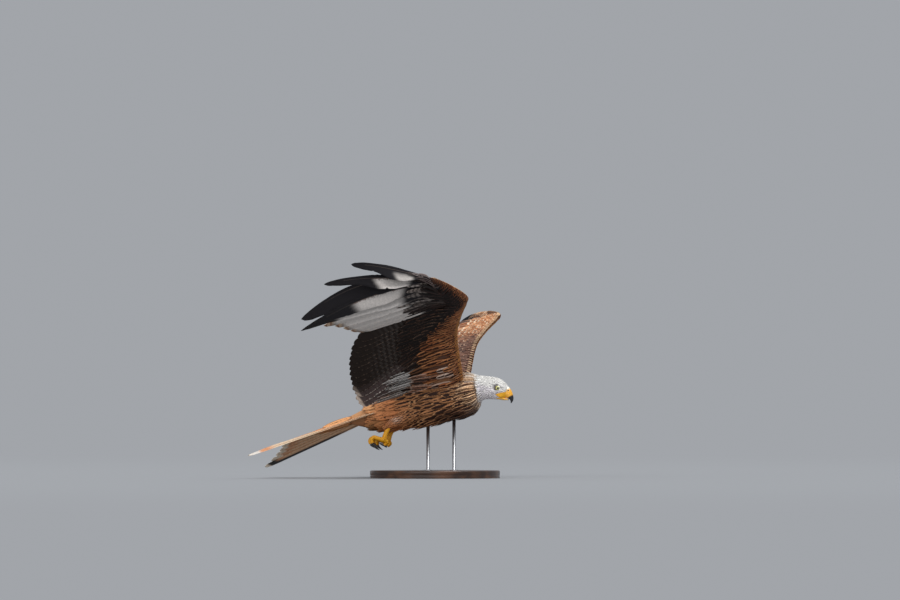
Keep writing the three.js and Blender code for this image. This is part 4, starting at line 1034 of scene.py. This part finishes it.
def upper_colours(rng, place, back):
    """Upper coverts: rufous brown, dark centres and cream edges, duller and browner towards the shafts."""
    n = len(place)
    dice = rng.random(n)
    warm = layered((190, 124, 80), ((218, 164, 122), rng.random(n)))
    dull = layered((88, 62, 56), ((116, 86, 76), rng.random(n)))
    inner = 1 - step_up(place + 3 * dice, 5, 13)
    rear = step_up(back, 0.080, 0.110)
    hand = step_up(place, 14, 17) * step_up(back, 0.030, 0.050)
    edge = 1 - step_up(back, 0.005, 0.012)
    ground = layered(
        warm, (dull, 0.9 * inner), ((92, 72, 66), rear), ((74, 60, 56), 0.75 * hand), ((212, 178, 140), edge))
    dark = np.maximum(rear, inner)
    fringe = layered(
        (232, 204, 174), ((166, 134, 114), dark), ((158, 124, 100), 0.6 * hand), (ground, edge))
    streak = layered((150, 92, 62), ((64, 46, 42), dark))
    width = 0.42 * (1 - 0.7 * edge) * np.clip(1.5 * rng.random(n) - 0.25, 0, 1)
    marks = np.stack([width, 0.05 + 0.16 * rng.random(n), 0 * place], -1)
    return [pick(rng, ground, 0.22), pick(rng, fringe, 0.12), streak, marks]


COVERTS = {
    # above or below, rows, colours, how much shorter at the wing's end, how uneven the rows are
    "under": (-1, UNDER_ROWS, under_colours, 0.40, 0.12),
    "upper": (1, UPPER_ROWS, upper_colours, 0.45, 0.06),
}


def covert_rows(rng, side, face, rows, shorter, uneven):
    """All rows of one face of a wing: roots, tips, lead directions, half widths, lengths, arches, places and
    distances back."""
    found = []
    for k, (arm_tip, hand_tip, arm_length, hand_length, half, count) in enumerate(rows):
        step = (HAND_END - ARM_START) / count
        stagger = 0.5 * (k % 2) if face > 0 or count > 32 else 0.0
        place = ARM_START + step * (np.arange(count) + 0.5 + stagger + 0.3 * (rng.random(count) - 0.5))
        place = np.clip(place, ARM_START, HAND_END)
        hand = step_up(place, 11, 17)
        taper = 1 - shorter * step_up(place, 18, 24.5)
        vary = 1 + uneven * (rng.random(count) - 0.5)
        found.append((
            place, (arm_tip + (hand_tip - arm_tip) * hand) * taper * vary,
            (arm_length + (hand_length - arm_length) * hand) * taper,
            half * (1 - 0.22 * hand) * taper * (0.92 + 0.16 * rng.random(count))))
    place, back, length, half = (np.concatenate(column) for column in zip(*found))
    tip, up, across = wing_deck(side, place, back, face)
    root, root_up, root_across = wing_deck(
        side, place + 0.12 * (rng.random(len(place)) - 0.5), np.maximum(back - length, 0), face)
    middle = wing_deck(side, place, np.maximum(back - length / 2, 0), face)[0]
    tip = tip + up * ((0.0012 + 0.010 * length) * face)[:, None]
    root = root - root_up * (QUILL_SUNK * face)
    arch = ((middle - (root + tip) / 2) * up).sum(-1) / np.maximum(length, 1e-3) + 0.010 * face
    leans = [tilted(root_across, root_up, VANE_TILT * 0.7), tilted(across, up, VANE_TILT * 0.7)]
    return root, tip, leans, half, length, arch, place, back


for side in ("left", "right"):
    for name, (face, rows, colours, *shape) in COVERTS.items():
        rng = np.random.default_rng(21)
        root, tip, leans, half, length, arch, place, back = covert_rows(rng, side, face, rows, *shape)
        half = web(ROUND_WEB, COVERT_T, half)
        points = vanes(root, tip, leans, COVERT_T, COVERT_S, half, half, 0.0004, arch=arch, camber=3.0 * face)
        patch = patches((place - ARM_START) / (HAND_END - ARM_START) * 0.97 + 0.01,
                        back / rows[0][0] * 0.9 + 0.01, (0.008, 0.016))
        feathers(f"coverts_{name}_{side}", side, points, COVERT_T, COVERT_S, length,
                 colours(rng, place, back), patch, wing_material)

# The tail: twelve long feathers in a shallow fan with a deep fork, stiff shafts with soft orange webs, the
# right half laid over the left. The nearest one is rolled on its shaft.
TAIL_ROOT = np.array([-0.182, 0, -0.028])
TAIL_LAYER, TAIL_STEP = 0.00095, 0.0034
TAIL_SLOPE, TAIL_FALL, TAIL_TWIST = 9.0, 7.0, -2.5
NEAR_ROLL = -22.0
TAIL_QUILL_THICK = 0.0018
RECTRICES = np.array([
    # length, splay, from the middle pair to the outermost
    [0.250, 0.9], [0.257, 4.2], [0.268, 7.2], [0.284, 10], [0.304, 12.8], [0.330, 15.6],
])
RECTRIX_WEB = np.array([
    [0, 0.18], [0.08, 0.5], [0.2, 0.74], [0.5, 0.94], [0.9, 1.0], [0.965, 0.85], [1, 0.3]])


def tail_turned(points):
    """Points of the tail, twisted a little about its root."""
    return (points - TAIL_ROOT) @ turn((1, 0, 0), TAIL_TWIST).T + TAIL_ROOT


def tail_half(hand):
    """Roots, tips and outward directions of the six feathers of one half; hand is 1 left, -1 right."""
    slope, fall = math.radians(TAIL_SLOPE), math.radians(TAIL_FALL)
    out = np.array([0, hand * math.cos(slope), -math.sin(slope)])
    back = np.array([-math.cos(fall), 0, -math.sin(fall)])
    up = unit(np.cross(back, out) * -hand)
    pair = np.arange(6)
    layer = TAIL_LAYER * (pair + (0 if hand > 0 else 1))
    root = TAIL_ROOT + out * (0.0045 + TAIL_STEP * pair)[:, None] - up * layer[:, None]
    splay = np.radians(RECTRICES[:, 1])[:, None]
    tip = root + RECTRICES[:, :1] * (back * np.cos(splay) + out * np.sin(splay))
    return root, tip, np.tile(out, (6, 1))


def tail_colours(t, s, hand, rng):
    """Tail feathers: orange rufous, paler at edges and tip, faintly barred; the far outermost dark outside,
    deepened with painted shade, the near one paler with a painted sheen.
    """
    pair, tt, ss = np.broadcast_arrays(np.arange(6)[:, None, None], t[:, None], s)
    outermost = pair == 5
    # near: the near outermost feather, painted pale cream from mid-length instead of its dark outer web, as a
    # painted sheen.
    near = outermost * (hand < 0)
    strand = 1 + 0.15 * (rng.random((6, 1, len(s))) * 2 - 1)
    late = step_up(tt, 0.78, 0.86) * (0.6 + 0.3 * near)
    # The far outermost feather's dark outer web and corner: its own dark colour, deepened as painted shade;
    # the near one is left without it.
    dark = outermost * (step_up(ss, -0.35, -0.1) * step_up(tt, 0.30, 0.45) + step_up(tt, 0.86, 0.91))
    dark = np.clip(dark, 0, 1) * (1 - step_up(tt, 0.955, 0.975)) * (hand > 0)
    pale = np.where(outermost, 0.90, 0.925 - 0.01 * pair)
    web_colour = layered((234, 180, 134), ((248, 214, 176), step_up(np.abs(ss), 0.3, 1.0) * 0.8))
    ground = layered(
        web_colour * strand[..., None], ((222, 196, 166), near * step_up(tt, 0.40, 0.55)),
        ((214, 144, 100), late), ((20, 13, 12), dark),
        (layered((246, 230, 208), ((222, 214, 204), near)), step_up(tt, pale, pale + 0.02) * (1 - dark)))
    fringe = np.broadcast_to(linear(240, 220, 192), ground.shape)
    bars = np.broadcast_to(linear(150, 92, 62), ground.shape)
    marks = np.stack([0 * tt, 0 * tt + 0.04, 0.10 * (1 - dark) * (ss < 0)], -1)
    return [np.stack([each_point(row) for row in layer]) for layer in (ground, fringe, bars, marks)]


tail_material = feather_material("tail_vanes", bar_pitch=0.011, bar_share=0.36, gloss=0.58)
for side, hand in (("left", 1), ("right", -1)):
    rng = np.random.default_rng(9)
    t = np.linspace(0, 1, FLIGHT_ROWS)
    root, tip, out = tail_half(hand)
    inner = np.r_[0.011 if hand > 0 else 0.0074, np.full(5, 0.0185)]
    outer = np.r_[np.full(5, 0.015), 0.009]
    lead, trail = worn(rng, web(RECTRIX_WEB, t, outer), web(RECTRIX_WEB, t, inner), 2)
    twisted = out.copy()
    if hand < 0:
        trail[5] *= 1 - 0.6 * step_up(t, 0.76, 0.98)
        twisted[5] = turn(tip[5] - root[5], NEAR_ROLL) @ out[5]
    points = tail_turned(vanes(root, tip, [out, twisted], t, SHAFT_COLUMNS, lead, trail, 0.0005))
    length = np.linalg.norm(tip - root, axis=1)
    patch = patches(0.02 + 0.16 * np.arange(6), 0.01, (0.14, 0.98))
    feathers(f"tail_feathers_{side}", None, points, t, SHAFT_COLUMNS, length,
             tail_colours(t, SHAFT_COLUMNS, hand, rng), patch, tail_material,
             ["tail"] if hand > 0 else [])
    rings = tail_turned(shaft_tubes(root, tip, [out, twisted], length, 0.0, 0.0, TAIL_QUILL_THICK))
    quills(f"tail_shafts_{side}", None, rings, "tail_feathers")

# The coat of the body: contour feathers in staggered rows, each covering the root of the one behind it,
# longest at the rump and belly, narrow and pointed on the neck.
COAT = np.array([
    # length, half width, distance between rows and between neighbours, by ring of the skin
    [0.066, 0.0078, 0.0212, 0.0086], [0.066, 0.0082, 0.0228, 0.0092], [0.067, 0.0088, 0.0248, 0.0098],
    [0.067, 0.0091, 0.0262, 0.0101], [0.066, 0.0091, 0.0268, 0.0101], [0.064, 0.0089, 0.0260, 0.0099],
    [0.060, 0.0086, 0.0240, 0.0095], [0.053, 0.0078, 0.0206, 0.0087], [0.045, 0.0067, 0.0160, 0.0075],
    [0.034, 0.0055, 0.0112, 0.0062], [0.027, 0.0044, 0.0072, 0.0050], [0.0215, 0.0034, 0.0052, 0.0038],
    [0.0165, 0.0027, 0.0040, 0.0030], [0.0125, 0.0022, 0.0030, 0.0024], [0.0098, 0.0018, 0.0024, 0.0020],
    [0.0082, 0.0016, 0.0020, 0.0018], [0.0068, 0.0014, 0.0018, 0.0016], [0.0056, 0.0012, 0.0016, 0.0014],
    [0.0048, 0.0011, 0.0015, 0.0013],
])
COAT_SPLIT, COAT_END = 9.6, 18.0
COAT_SINK = 0.0004
STRAY = 0.010
SMALL_T = np.array([0, 0.2, 0.5, 0.8, 1.0])
SMALL_S = np.array([-1, 0, 1.0])
SMALL_PATCH = (0.003, 0.003)


def ring_step(surface, place, angle):
    """Metres along the body from one ring to the next, at places of one of its surfaces."""
    return np.linalg.norm(surface(place + 0.02, angle) - surface(place - 0.02, angle), axis=-1) / 0.04


def coat_seeds(start, end, rng):
    """Rows of roots over the skin's rings: ring numbers and angles, staggered from row to row."""
    round_it = np.linspace(0, 2 * math.pi, 181)
    places, angles, place, row = [], [], start, 0
    while place < end:
        _, _, pitch, gap = smooth_rows(COAT, np.array(place))
        ring = body_point(np.full(181, place), round_it)
        run = np.r_[0, np.cumsum(np.linalg.norm(np.diff(ring, axis=0), axis=1))]
        count = int(run[-1] / gap)
        spots = (np.arange(count) + 0.5 * (row % 2) + 0.35 * (rng.random(count) - 0.5)) * run[-1] / count
        angles.append(np.interp(spots % run[-1], run, round_it))
        rings_on = pitch / ring_step(body_point, place, round_it).mean()
        places.append(place + 0.3 * rings_on * (rng.random(count) - 0.5))
        place += rings_on
        row += 1
    return np.clip(np.concatenate(places), 0, len(SKIN_RINGS) - 1), np.concatenate(angles)


def coat_point(place, angle):
    """A place on the skin's rings; behind the first ring it runs on and closes on the tail's fan."""
    place, angle = np.broadcast_arrays(np.asarray(place, float), np.asarray(angle, float))
    spot = body_point(np.maximum(place, 0), angle)
    fall = np.radians(TAIL_FALL + np.where(np.sin(angle) > 0, 5.5, 8.5) * np.sin(angle))
    spread = math.tan(math.radians(13)) * np.cos(angle)
    run = np.stack([np.cos(fall), -spread, np.sin(fall)], -1)
    return spot + (np.minimum(place, 0) * 0.026)[..., None] * run


def leaning(root, tip, *ups):
    """The ways across feathers that lie flat under each of the ways up."""
    along = unit(tip - root)
    return [unit(np.cross(along, up)) for up in ups]


def coat(name, seeds, t, s, table, material, rng, lift, keep):
    """A coat of feathers from their roots on the skin, lying back along it, in the skin's own colours."""
    place, angle = seeds
    length, half, _, _ = np.moveaxis(smooth_rows(COAT, place), -1, 0)
    length = length * (0.9 + 0.2 * rng.random(len(place)))
    swerve = 0.17 * (rng.random(len(place)) - 0.5)
    reach = length / np.maximum(ring_step(coat_point, place, angle), 1e-4)
    out, tip_out = (body_out(np.maximum(at, 0.05), angle) for at in (place, place - reach))
    rise = lift * length * (0.85 + 0.3 * rng.random(len(place))) + 0.0004
    rise = rise * (0.2 + 0.8 * step_up(place - reach, -1.5, 2.5)) * (1 - 0.6 * step_up(place, 7.0, 9.6))
    root = coat_point(place, angle) - out * COAT_SINK
    middle = coat_point(place - reach / 2, angle + swerve / 2)
    tip = coat_point(place - reach, angle + swerve) + tip_out * rise[:, None]
    arch = ((middle - (root + tip) / 2) * out).sum(-1) / length + 0.02
    kept = keep(root, place, angle)
    leans = [lean[kept] for lean in leaning(root, tip, out, tip_out)]
    root, tip, length, half = (values[kept] for values in (root, tip, length, half))
    arch, place, angle = (values[kept] for values in (arch, place, angle))
    width = web(table, t, half * (0.9 + 0.2 * rng.random(len(half))))
    points = vanes(root, tip, leans, t, s, width, width, 0.00035, arch=arch, camber=9.0)
    stray = STRAY * (rng.random((len(root), 1)) - 0.5)
    ground, fringe, streak, marks = markings(root + 0.75 * (tip - root) + unit(tip - root) * stray)
    colours = [pick(rng, ground, 0.16), pick(rng, fringe, 0.12), streak,
               marks * (0.45 + 1.1 * rng.random((len(root), 1)))]
    patch = patches(0.01 + 0.97 * place / (len(SKIN_RINGS) - 1), 0.01 + 0.97 * angle / (2 * math.pi),
                    SMALL_PATCH)
    feathers(name, None, points, t, s, length, colours, patch, material)


body_material = feather_material("body_vanes", gloss=0.66, point=0.7, tip_edge=0.94)
head_material = feather_material("head_vanes", gloss=0.68, sheen=0.1)


def off_the_fan(root, place, angle):
    """Leaves out feathers at the sides of the rump, where the tail's fan comes out of it."""
    return (place > 2.6) | (np.abs(np.sin(angle)) > 0.5)


def off_the_face(root, place, angle):
    """Leaves out feathers within the lids and where the bill comes out of the face."""
    x, y, z = from_bird(root).T
    in_lids = (np.hypot(x, z) < 0.0084) & (np.abs(y) > 0.008)
    in_bill = (x > 0.0125) & (z < 0.012) & (np.abs(y) < 0.0082)
    return ~in_lids & ~in_bill & (gape(from_bird(root)) < 0.3)


rng = np.random.default_rng(3)
coat("body_coat", coat_seeds(0.0, COAT_SPLIT, rng), COVERT_T, COVERT_S, LANCE_WEB, body_material,
     rng, lift=0.12, keep=off_the_fan)
coat("head_coat", coat_seeds(COAT_SPLIT, COAT_END, rng), SMALL_T, SMALL_S, POINTED_WEB, head_material,
     rng, lift=0.05, keep=off_the_face)

# Where wing and body meet: long pale axillaries hang from the armpit under the inner flight feathers. On
# the wrist sit the alula's four stiff feathers, rooted in the thumb.
AXILLARIES = {
    # by layer: count, place of the first and last tips, roots and tips behind the leading edge, half width,
    # colour of the web and of its edge, width of the dark streak, hang below the wing
    1: (5, -1.4, -0.4, 0.120, 0.222, 0.0036, (132, 122, 116), (196, 188, 180), 0.34, 0.0016),
    2: (9, -0.7, 1.5, 0.085, 0.190, 0.0036, (176, 172, 168), (236, 232, 226), 0.40, 0.0030),
    3: (11, -3.0, 0.1, 0.030, 0.132, 0.0074, (124, 88, 70), (198, 176, 160), 0.36, 0.0055),
}
ALULA = np.array([[0.064, 0.0062], [0.056, 0.0066], [0.046, 0.0068], [0.036, 0.0064]])

for side in ("left", "right"):
    rng = np.random.default_rng(31)
    for layer, (count, first, last, start, reach, half, shade, rim, streaked, drop) in AXILLARIES.items():
        q = (np.arange(count) + 0.35 * rng.random(count)) / count
        place = first + (last - first) * q
        inner = np.maximum(place - 1.2, -3.0)
        root, root_up, _ = wing_deck(side, inner, start + 0.03 * rng.random(count), -1)
        tip, up, _ = wing_deck(side, place, reach + 0.03 * (rng.random(count) - 0.5), -1)
        tip = tip - up * (drop + 0.002 * rng.random(count))[:, None]
        root = root + root_up * 0.004
        width = web(LANCE_WEB, COVERT_T, half * (0.7 + 0.5 * rng.random(count)))
        points = vanes(root, tip, leaning(root, tip, root_up, up), COVERT_T, COVERT_S, width, width, 0.0004,
                       bow=0.03 * (rng.random(count) - 0.5), arch=-0.02, camber=-3.0)
        colours = [pick(rng, linear(*shade), 0.45, count), pick(rng, linear(*rim), 0.3, count),
                   linear(44, 34, 30),
                   np.stack([streaked * (0.4 + rng.random(count)), 0.12 + 0 * q, 0 * q], -1)]
        patch = patches(0.02 + 0.07 * np.arange(count), 0.02, (0.06, 0.9))
        feathers(f"axillaries_{layer}_{side}", side, points, COVERT_T, COVERT_S,
                 np.linalg.norm(tip - root, axis=1), colours, patch, wing_material)

    k = np.arange(len(ALULA))
    root, root_up, _ = wing_deck(side, 14.3 + 0.25 * k, 0.006 + 0.004 * k, 1)
    end, end_up, _ = wing_deck(side, 20.0 - 0.9 * k, 0.008 + 0.004 * k, 1)
    leans = leaning(root, end, root_up, end_up)
    tip = root + unit(end - root) * ALULA[:, :1] + root_up * 0.001
    root = root + root_up * (0.0005 * (len(ALULA) - k))[:, None]
    half = web(ROUND_WEB, COVERT_T, ALULA[:, 1])
    points = vanes(root, tip, leans, COVERT_T, COVERT_S, 0.6 * half, 1.3 * half, 0.0005,
                   arch=0.02, camber=2.0)
    dark = linear(116, 80, 58)
    colours = [dark, linear(200, 160, 122), dark * 0.6, np.array([0.2, 0.08, 0.0])]
    feathers(f"alula_{side}", side, points, COVERT_T, COVERT_S, ALULA[:, 0], colours,
             patches(0.02 + 0.2 * k, 0.02, (0.18, 0.9)), wing_material)

# The thighs: soft rufous feathers down the leg to the bare shank, tucked up against the belly.
THIGH_LENGTH, THIGH_HALF, THIGH_PITCH, THIGH_GAP = 0.026, 0.0052, 0.0080, 0.0062
THIGH_SPOTS = 96

for side in ("left", "right"):
    rng = np.random.default_rng(41)
    spine = smooth_rows(THIGH, np.linspace(0, len(THIGH) - 1, 121))
    rings = tube(spine, THIGH_SPOTS)
    run = np.r_[0, np.cumsum(np.linalg.norm(np.diff(spine[:, :3], axis=0), axis=1))]
    found = []
    for row, at in enumerate(np.arange(0.004, run[-1] - 0.004, THIGH_PITCH)):
        here = int(np.searchsorted(run, at))
        there = int(min(np.searchsorted(run, at + THIGH_LENGTH), 120))
        count = int(2 * math.pi * spine[here, 3] / THIGH_GAP)
        steps = np.arange(count) + 0.5 * (row % 2) + 0.3 * rng.random(count)
        spots = (steps * THIGH_SPOTS / count).astype(int) % THIGH_SPOTS
        found.append((rings[here, spots], rings[there, spots], unit(rings[here, spots] - spine[here, :3])))
    root, tip, out = (np.concatenate(column) for column in zip(*found))
    n = len(root)
    short = (THIGH_LENGTH - np.linalg.norm(tip - root, axis=1))[:, None].clip(0)
    tip = tip + unit(tip - root) * short * 0.6 + out * 0.0022
    half = web(ROUND_WEB, COVERT_T, THIGH_HALF * (0.9 + 0.2 * rng.random(n)))
    points = vanes(root, tip, leaning(root, tip, out, out), COVERT_T, COVERT_S, half, half, 0.00035,
                   arch=0.04, camber=18.0)
    ground, fringe, streak, marks = markings(root + 0.7 * (tip - root))
    colours = [pick(rng, ground, 0.16), fringe, streak, marks * (0.4 + rng.random((n, 1)))]
    number = np.arange(n)
    patch = patches(0.02 + 0.95 * (number % 40) / 40, 0.02 + 0.95 * (number // 40) / 20, SMALL_PATCH)
    feathers(f"thigh_coat_{side}", side, points, COVERT_T, COVERT_S, np.linalg.norm(tip - root, axis=1),
             colours, patch, body_material)

# The feet: bare scaly shanks and clenched toes, golden yellow, painted darker in the creases as painted
# shade, tucked under the tail, and on each toe a curved black claw set in its end.
TARSUS = np.array([
    [-0.158, 0.025, -0.067, 0.0062], [-0.172, 0.0255, -0.076, 0.0058], [-0.183, 0.026, -0.089, 0.0054],
    [-0.191, 0.026, -0.103, 0.0063], [-0.196, 0.026, -0.107, 0.0053],
])
TOE_BASE = np.array([-0.193, 0.026, -0.105])
TOES = [
    # base sideways, end sideways, curl, radius, forward or hind
    (0.009, 0.010, 1.0, 0.0047, -1), (0.0, 0.0, 1.23, 0.0050, -1), (-0.008, -0.009, 0.96, 0.0048, -1),
    (0.0, -0.001, 0.7, 0.0048, 1),
]
SCUTE = 0.0021
CREASE_DEPTH, CREASE_POWER = 0.09, 0.6
FOOT_SIDES, CLAW_SIDES = 20, 16


def toe_path(aside, out, curl, radius, back):
    """The path of one left toe, from its root over the knuckle to its end, with its radius."""
    if back > 0:
        table = [[0.001, 0, 0, radius + 0.0008], [0.006, out - 0.004, -0.005, radius],
                 [-0.001, out - 0.005, -0.0105, radius * 0.82]]
    else:
        table = [[0, aside * 0.4, 0, radius + 0.0010], [-0.009 * curl, aside, 0.005, radius],
                 [-0.019 * curl, out, 0.010, radius * 0.95], [-0.025 * curl, out, 0.0055, radius * 0.92],
                 [-0.025 * curl, out * 0.9, -0.0025, radius * 0.8]]
    table = np.array(table)
    table[:, :3] += TOE_BASE
    return table


def claw_path(toe):
    """The path of a claw, curving in from the toe's end to its point."""
    x, y, z, radius = toe_path(*toe)[-1]
    hind = toe[4] > 0
    way = np.array([-1, 0, 0.25] if hind else [0.35, -0.1 * np.sign(toe[1]), -1])
    curve = np.array([-0.4, 0, 0.9] if hind else [1, 0, -0.35])
    i = np.linspace(0.2, 2.75, 22)[:, None]
    spot = np.array([x, y, z]) + 0.0042 * (i * way + i * i * 0.2 * (curve - way * 0.3))
    return np.hstack([spot, radius * (0.74 * (1 - ((i - 0.2) / 2.6) ** 1.6) + 0.05)])


def scaly(table, count):
    """A limb's shell with a low ring at each scute, and how deep in a crease each point lies."""
    path = smooth_rows(table, np.linspace(0, len(table) - 1, count))
    run = np.r_[0, np.cumsum(np.linalg.norm(np.diff(path[:, :3], axis=0), axis=1))]
    crease = 1 - np.abs(np.sin(math.pi * run / SCUTE)) ** CREASE_POWER
    path[:, 3] *= 1 - CREASE_DEPTH * crease
    path[:2, 3] *= [0.55, 0.85]
    path[-3:, 3] *= [0.95, 0.82, 0.5]
    return loft(tube(path, FOOT_SIDES)), np.r_[0, np.repeat(crease, FOOT_SIDES), 0]


scales, tree = new_material("scaly_skin")
pebble = joined(tree, "ShaderNodeTexVoronoi", {"Vector": in_place(tree), "Scale": 700.0}).outputs["Distance"]
surfaced(tree, {
    "Base Color": stored(tree, "ground"), "Roughness": 0.45, "Subsurface Weight": 0.08,
    "Subsurface Radius": (0.002, 0.001, 0.0005), "Normal": bumped(tree, pebble, 0.25, 0.0004)})

claw_horn, tree = new_material("claw_horn")
surfaced(tree, {
    "Base Color": paint(20, 18, 17), "Roughness": 0.22, "Coat Weight": 0.5, "Coat Roughness": 0.1})

for side in ("left", "right"):
    limbs = [scaly(TARSUS, 130), *[scaly(toe_path(*toe), 110) for toe in TOES]]
    points, faces = gathered([shell for shell, _ in limbs])
    crease = np.concatenate([depth for _, depth in limbs])
    # The creases between the scutes are painted darker orange: painted shade.
    piece(f"foot_scaly_{side}", in_room(sided(points, side)), outward(faces, side), scales, "feet",
          [f"foot_{side}"], layered((240, 174, 12), ((196, 108, 14), crease * 0.75)))
    for number, toe in enumerate(TOES, 1):
        points, faces = loft(tube(claw_path(toe), CLAW_SIDES))
        piece(f"claw_horn_{side}_{number}", in_room(sided(points, side)), outward(faces, side), claw_horn,
              "claws", [f"claw_{side}_{number}"])

# The eyes: glass, as a maker of mounts sets them: a black pupil in a pale yellow-green iris with a dark
# rim, a clear bulging front, and a bare grey lid round each.
EYE_RADIUS, EYE_OUT = 0.0083, 0.0136
EYE_AXIS = np.array([0.30, 0.95, -0.03])
IRIS, PUPIL = 44.0, 18.5
CORNEA = 0.0006
EYE_SIDES, LID_SIDES = 72, 80
LID_RINGS = [
    # distance from the eye's axis, and out along it
    [0.0059, 0.0050], [0.0060, 0.0060], [0.0064, 0.0064], [0.0071, 0.0063],
    [0.0079, 0.0055], [0.0087, 0.0040], [0.0084, 0.0026], [0.0068, 0.0036],
]


eye_glass, tree = new_material("eye_glass")
surfaced(tree, {
    "Base Color": stored(tree, "ground"), "Roughness": 0.25, "Coat Weight": 1.0, "Coat Roughness": 0.02})

lid_skin, tree = new_material("lid_skin")
surfaced(tree, {"Base Color": paint(118, 110, 108), "Roughness": 0.55})

axis = unit(EYE_AXIS)
up = unit(np.array([0, 0, 1.0]) - axis * axis[2])
ahead = np.cross(axis, up)
eye_centre = np.array([0, EYE_OUT, 0])

polar = np.radians(np.linspace(1.0, 125, 64))
round_it = np.linspace(0, 2 * math.pi, EYE_SIDES, endpoint=False)
bulge = EYE_RADIUS + CORNEA * np.clip(1 - (np.degrees(polar) / IRIS) ** 2, 0, 1)
radial = ahead * np.cos(round_it)[:, None] + up * np.sin(round_it)[:, None]
globe = axis * np.cos(polar)[:, None, None] + radial * np.sin(polar)[:, None, None]
eye_points, eye_faces = loft(eye_centre + globe * bulge[:, None, None])
degrees = np.degrees(polar)[:, None] + 0 * round_it
rays = 0.88 + 0.16 * (0.5 + 0.5 * np.sin(round_it * 36 + 3 * np.sin(round_it * 5)))
iris = layered((206, 204, 128), ((176, 170, 78), step_up(degrees, 26, 40))) * rays[None, :, None]
seen = layered(iris, ((54, 48, 26), step_up(degrees, IRIS - 6, IRIS)),
               (np.full(3, 0.003), 1 - step_up(degrees, PUPIL - 1.2, PUPIL + 0.8)))
seen = np.vstack([seen[:1, 0], seen.reshape(-1, 3), seen[-1:, 0]])

profile = np.array(LID_RINGS)
sweep = np.linspace(0, 2 * math.pi, LID_SIDES, endpoint=False)
radial = ahead * (1.07 * np.cos(sweep))[:, None] + up * (0.93 * np.sin(sweep))[:, None]
lid_points = eye_centre + radial[:, None] * profile[None, :, :1] + axis * profile[None, :, 1:]
a = np.arange(LID_SIDES * len(profile)).reshape(LID_SIDES, -1)
b, c = np.roll(a, -1, axis=0), np.roll(a, -1, axis=1)
lid_faces = np.stack([a, b, np.roll(b, -1, axis=1), c], -1).reshape(-1, 4).tolist()

for side in ("left", "right"):
    piece(f"eye_glass_{side}", in_room(sided(on_head(eye_points), side)), outward(eye_faces, side), eye_glass,
          "eyes", [f"eye_{side}"], seen)
    piece(f"lid_{side}", in_room(sided(on_head(lid_points.reshape(-1, 3)), side)), outward(lid_faces, side),
          lid_skin, "head_feathers")

# The bill: a hooked upper half and a shorter lower one of smooth horn, yellow with a black hook, and at
# its root the soft yellow cere with the nostrils.
UPPER_BILL = np.array([
    [12.5, 13.6, 4, -15.4, 8.4], [18, 12.4, 12, -15.6, 9], [25, 8.4, 20, -15.9, 8.2],
    [31.6, 2.4, 26, -16.2, 6.6], [37.2, -5.8, 30.4, -16.8, 5.0], [40.4, -13.2, 33.4, -18.2, 3.4],
    [40.4, -19.4, 35.4, -21.0, 2.2], [38.2, -24.8, 36.8, -24.9, 0.6],
]) / 1000
LOWER_BILL = np.array([
    [3, -16.4, 3, -24.4, 10.4], [12, -16.6, 12, -23.6, 8.2], [20, -16.9, 20, -22.4, 6.6],
    [26, -17.2, 26, -20.8, 4.6], [29.6, -17.9, 29.6, -19.6, 2.6], [31.1, -18.6, 31.1, -19.2, 0.7],
]) / 1000


def bill_shell(table, count, sides):
    """A half of the bill: rings c + rise sin(a), y = half cos(a) (1 - 0.12 sin(a)), with ring numbers."""
    place = np.linspace(0, len(table) - 1, count)
    top_x, top_z, low_x, low_z, half = smooth_rows(table, place).T[..., None]
    a = np.linspace(0, 2 * math.pi, sides, endpoint=False)
    x = (top_x + low_x) / 2 + (top_x - low_x) / 2 * np.sin(a)
    z = (top_z + low_z) / 2 + (top_z - low_z) / 2 * np.sin(a)
    flat = np.sign(np.cos(a)) * np.abs(np.cos(a)) ** 0.85
    points, faces = loft(np.stack([x, half * flat * (1 - 0.12 * np.sin(a)), z], -1))
    return points, faces, np.r_[0, np.repeat(place, sides), place[-1]]


smooth_horn, tree = new_material("bill_horn")
surfaced(tree, {
    "Base Color": stored(tree, "ground"), "Roughness": 0.3, "Coat Weight": 0.3, "Coat Roughness": 0.15,
    "Normal": bumped(tree, noise(tree, in_place(tree), 500.0, 2.0), 0.1, 0.0003)})

points, faces, place = bill_shell(UPPER_BILL, 90, 64)
nostril = soft_spot(points[:, 0], points[:, 2], (0.0245, 0.0012), (0.0017, 0.0021))
points[:, 1] *= 1 - 0.16 * nostril
# Paler, near white, along the top of the bill's root.
pale_top = step_up(points[:, 2], 0.0005, 0.0065) * (1 - step_up(place, 1.6, 2.6))
hook = np.maximum(step_up(place + 0.5 * step_up(-points[:, 2], 0.006, 0.014), 3.5, 4.2),
                  step_up(points[:, 0], 0.0350, 0.0385))
# The nostril is painted dark brown: painted shade in its opening.
upper = layered(
    (244, 190, 84), ((236, 170, 50), step_up(place, 1.2, 2.4)), ((240, 236, 224), pale_top),
    ((26, 24, 26), hook), ((60, 36, 16), step_up(nostril, 0.25, 0.6)))
piece("bill_upper_horn", in_room(on_head(points)), faces, smooth_horn, "bill", ["bill_upper"], upper)

points, faces, place = bill_shell(LOWER_BILL, 60, 56)
lower = layered((240, 182, 70), ((40, 34, 32), step_up(place, 3.3, 4.2)))
piece("bill_lower_horn", in_room(on_head(points)), faces, smooth_horn, "bill", ["bill_lower"], lower)
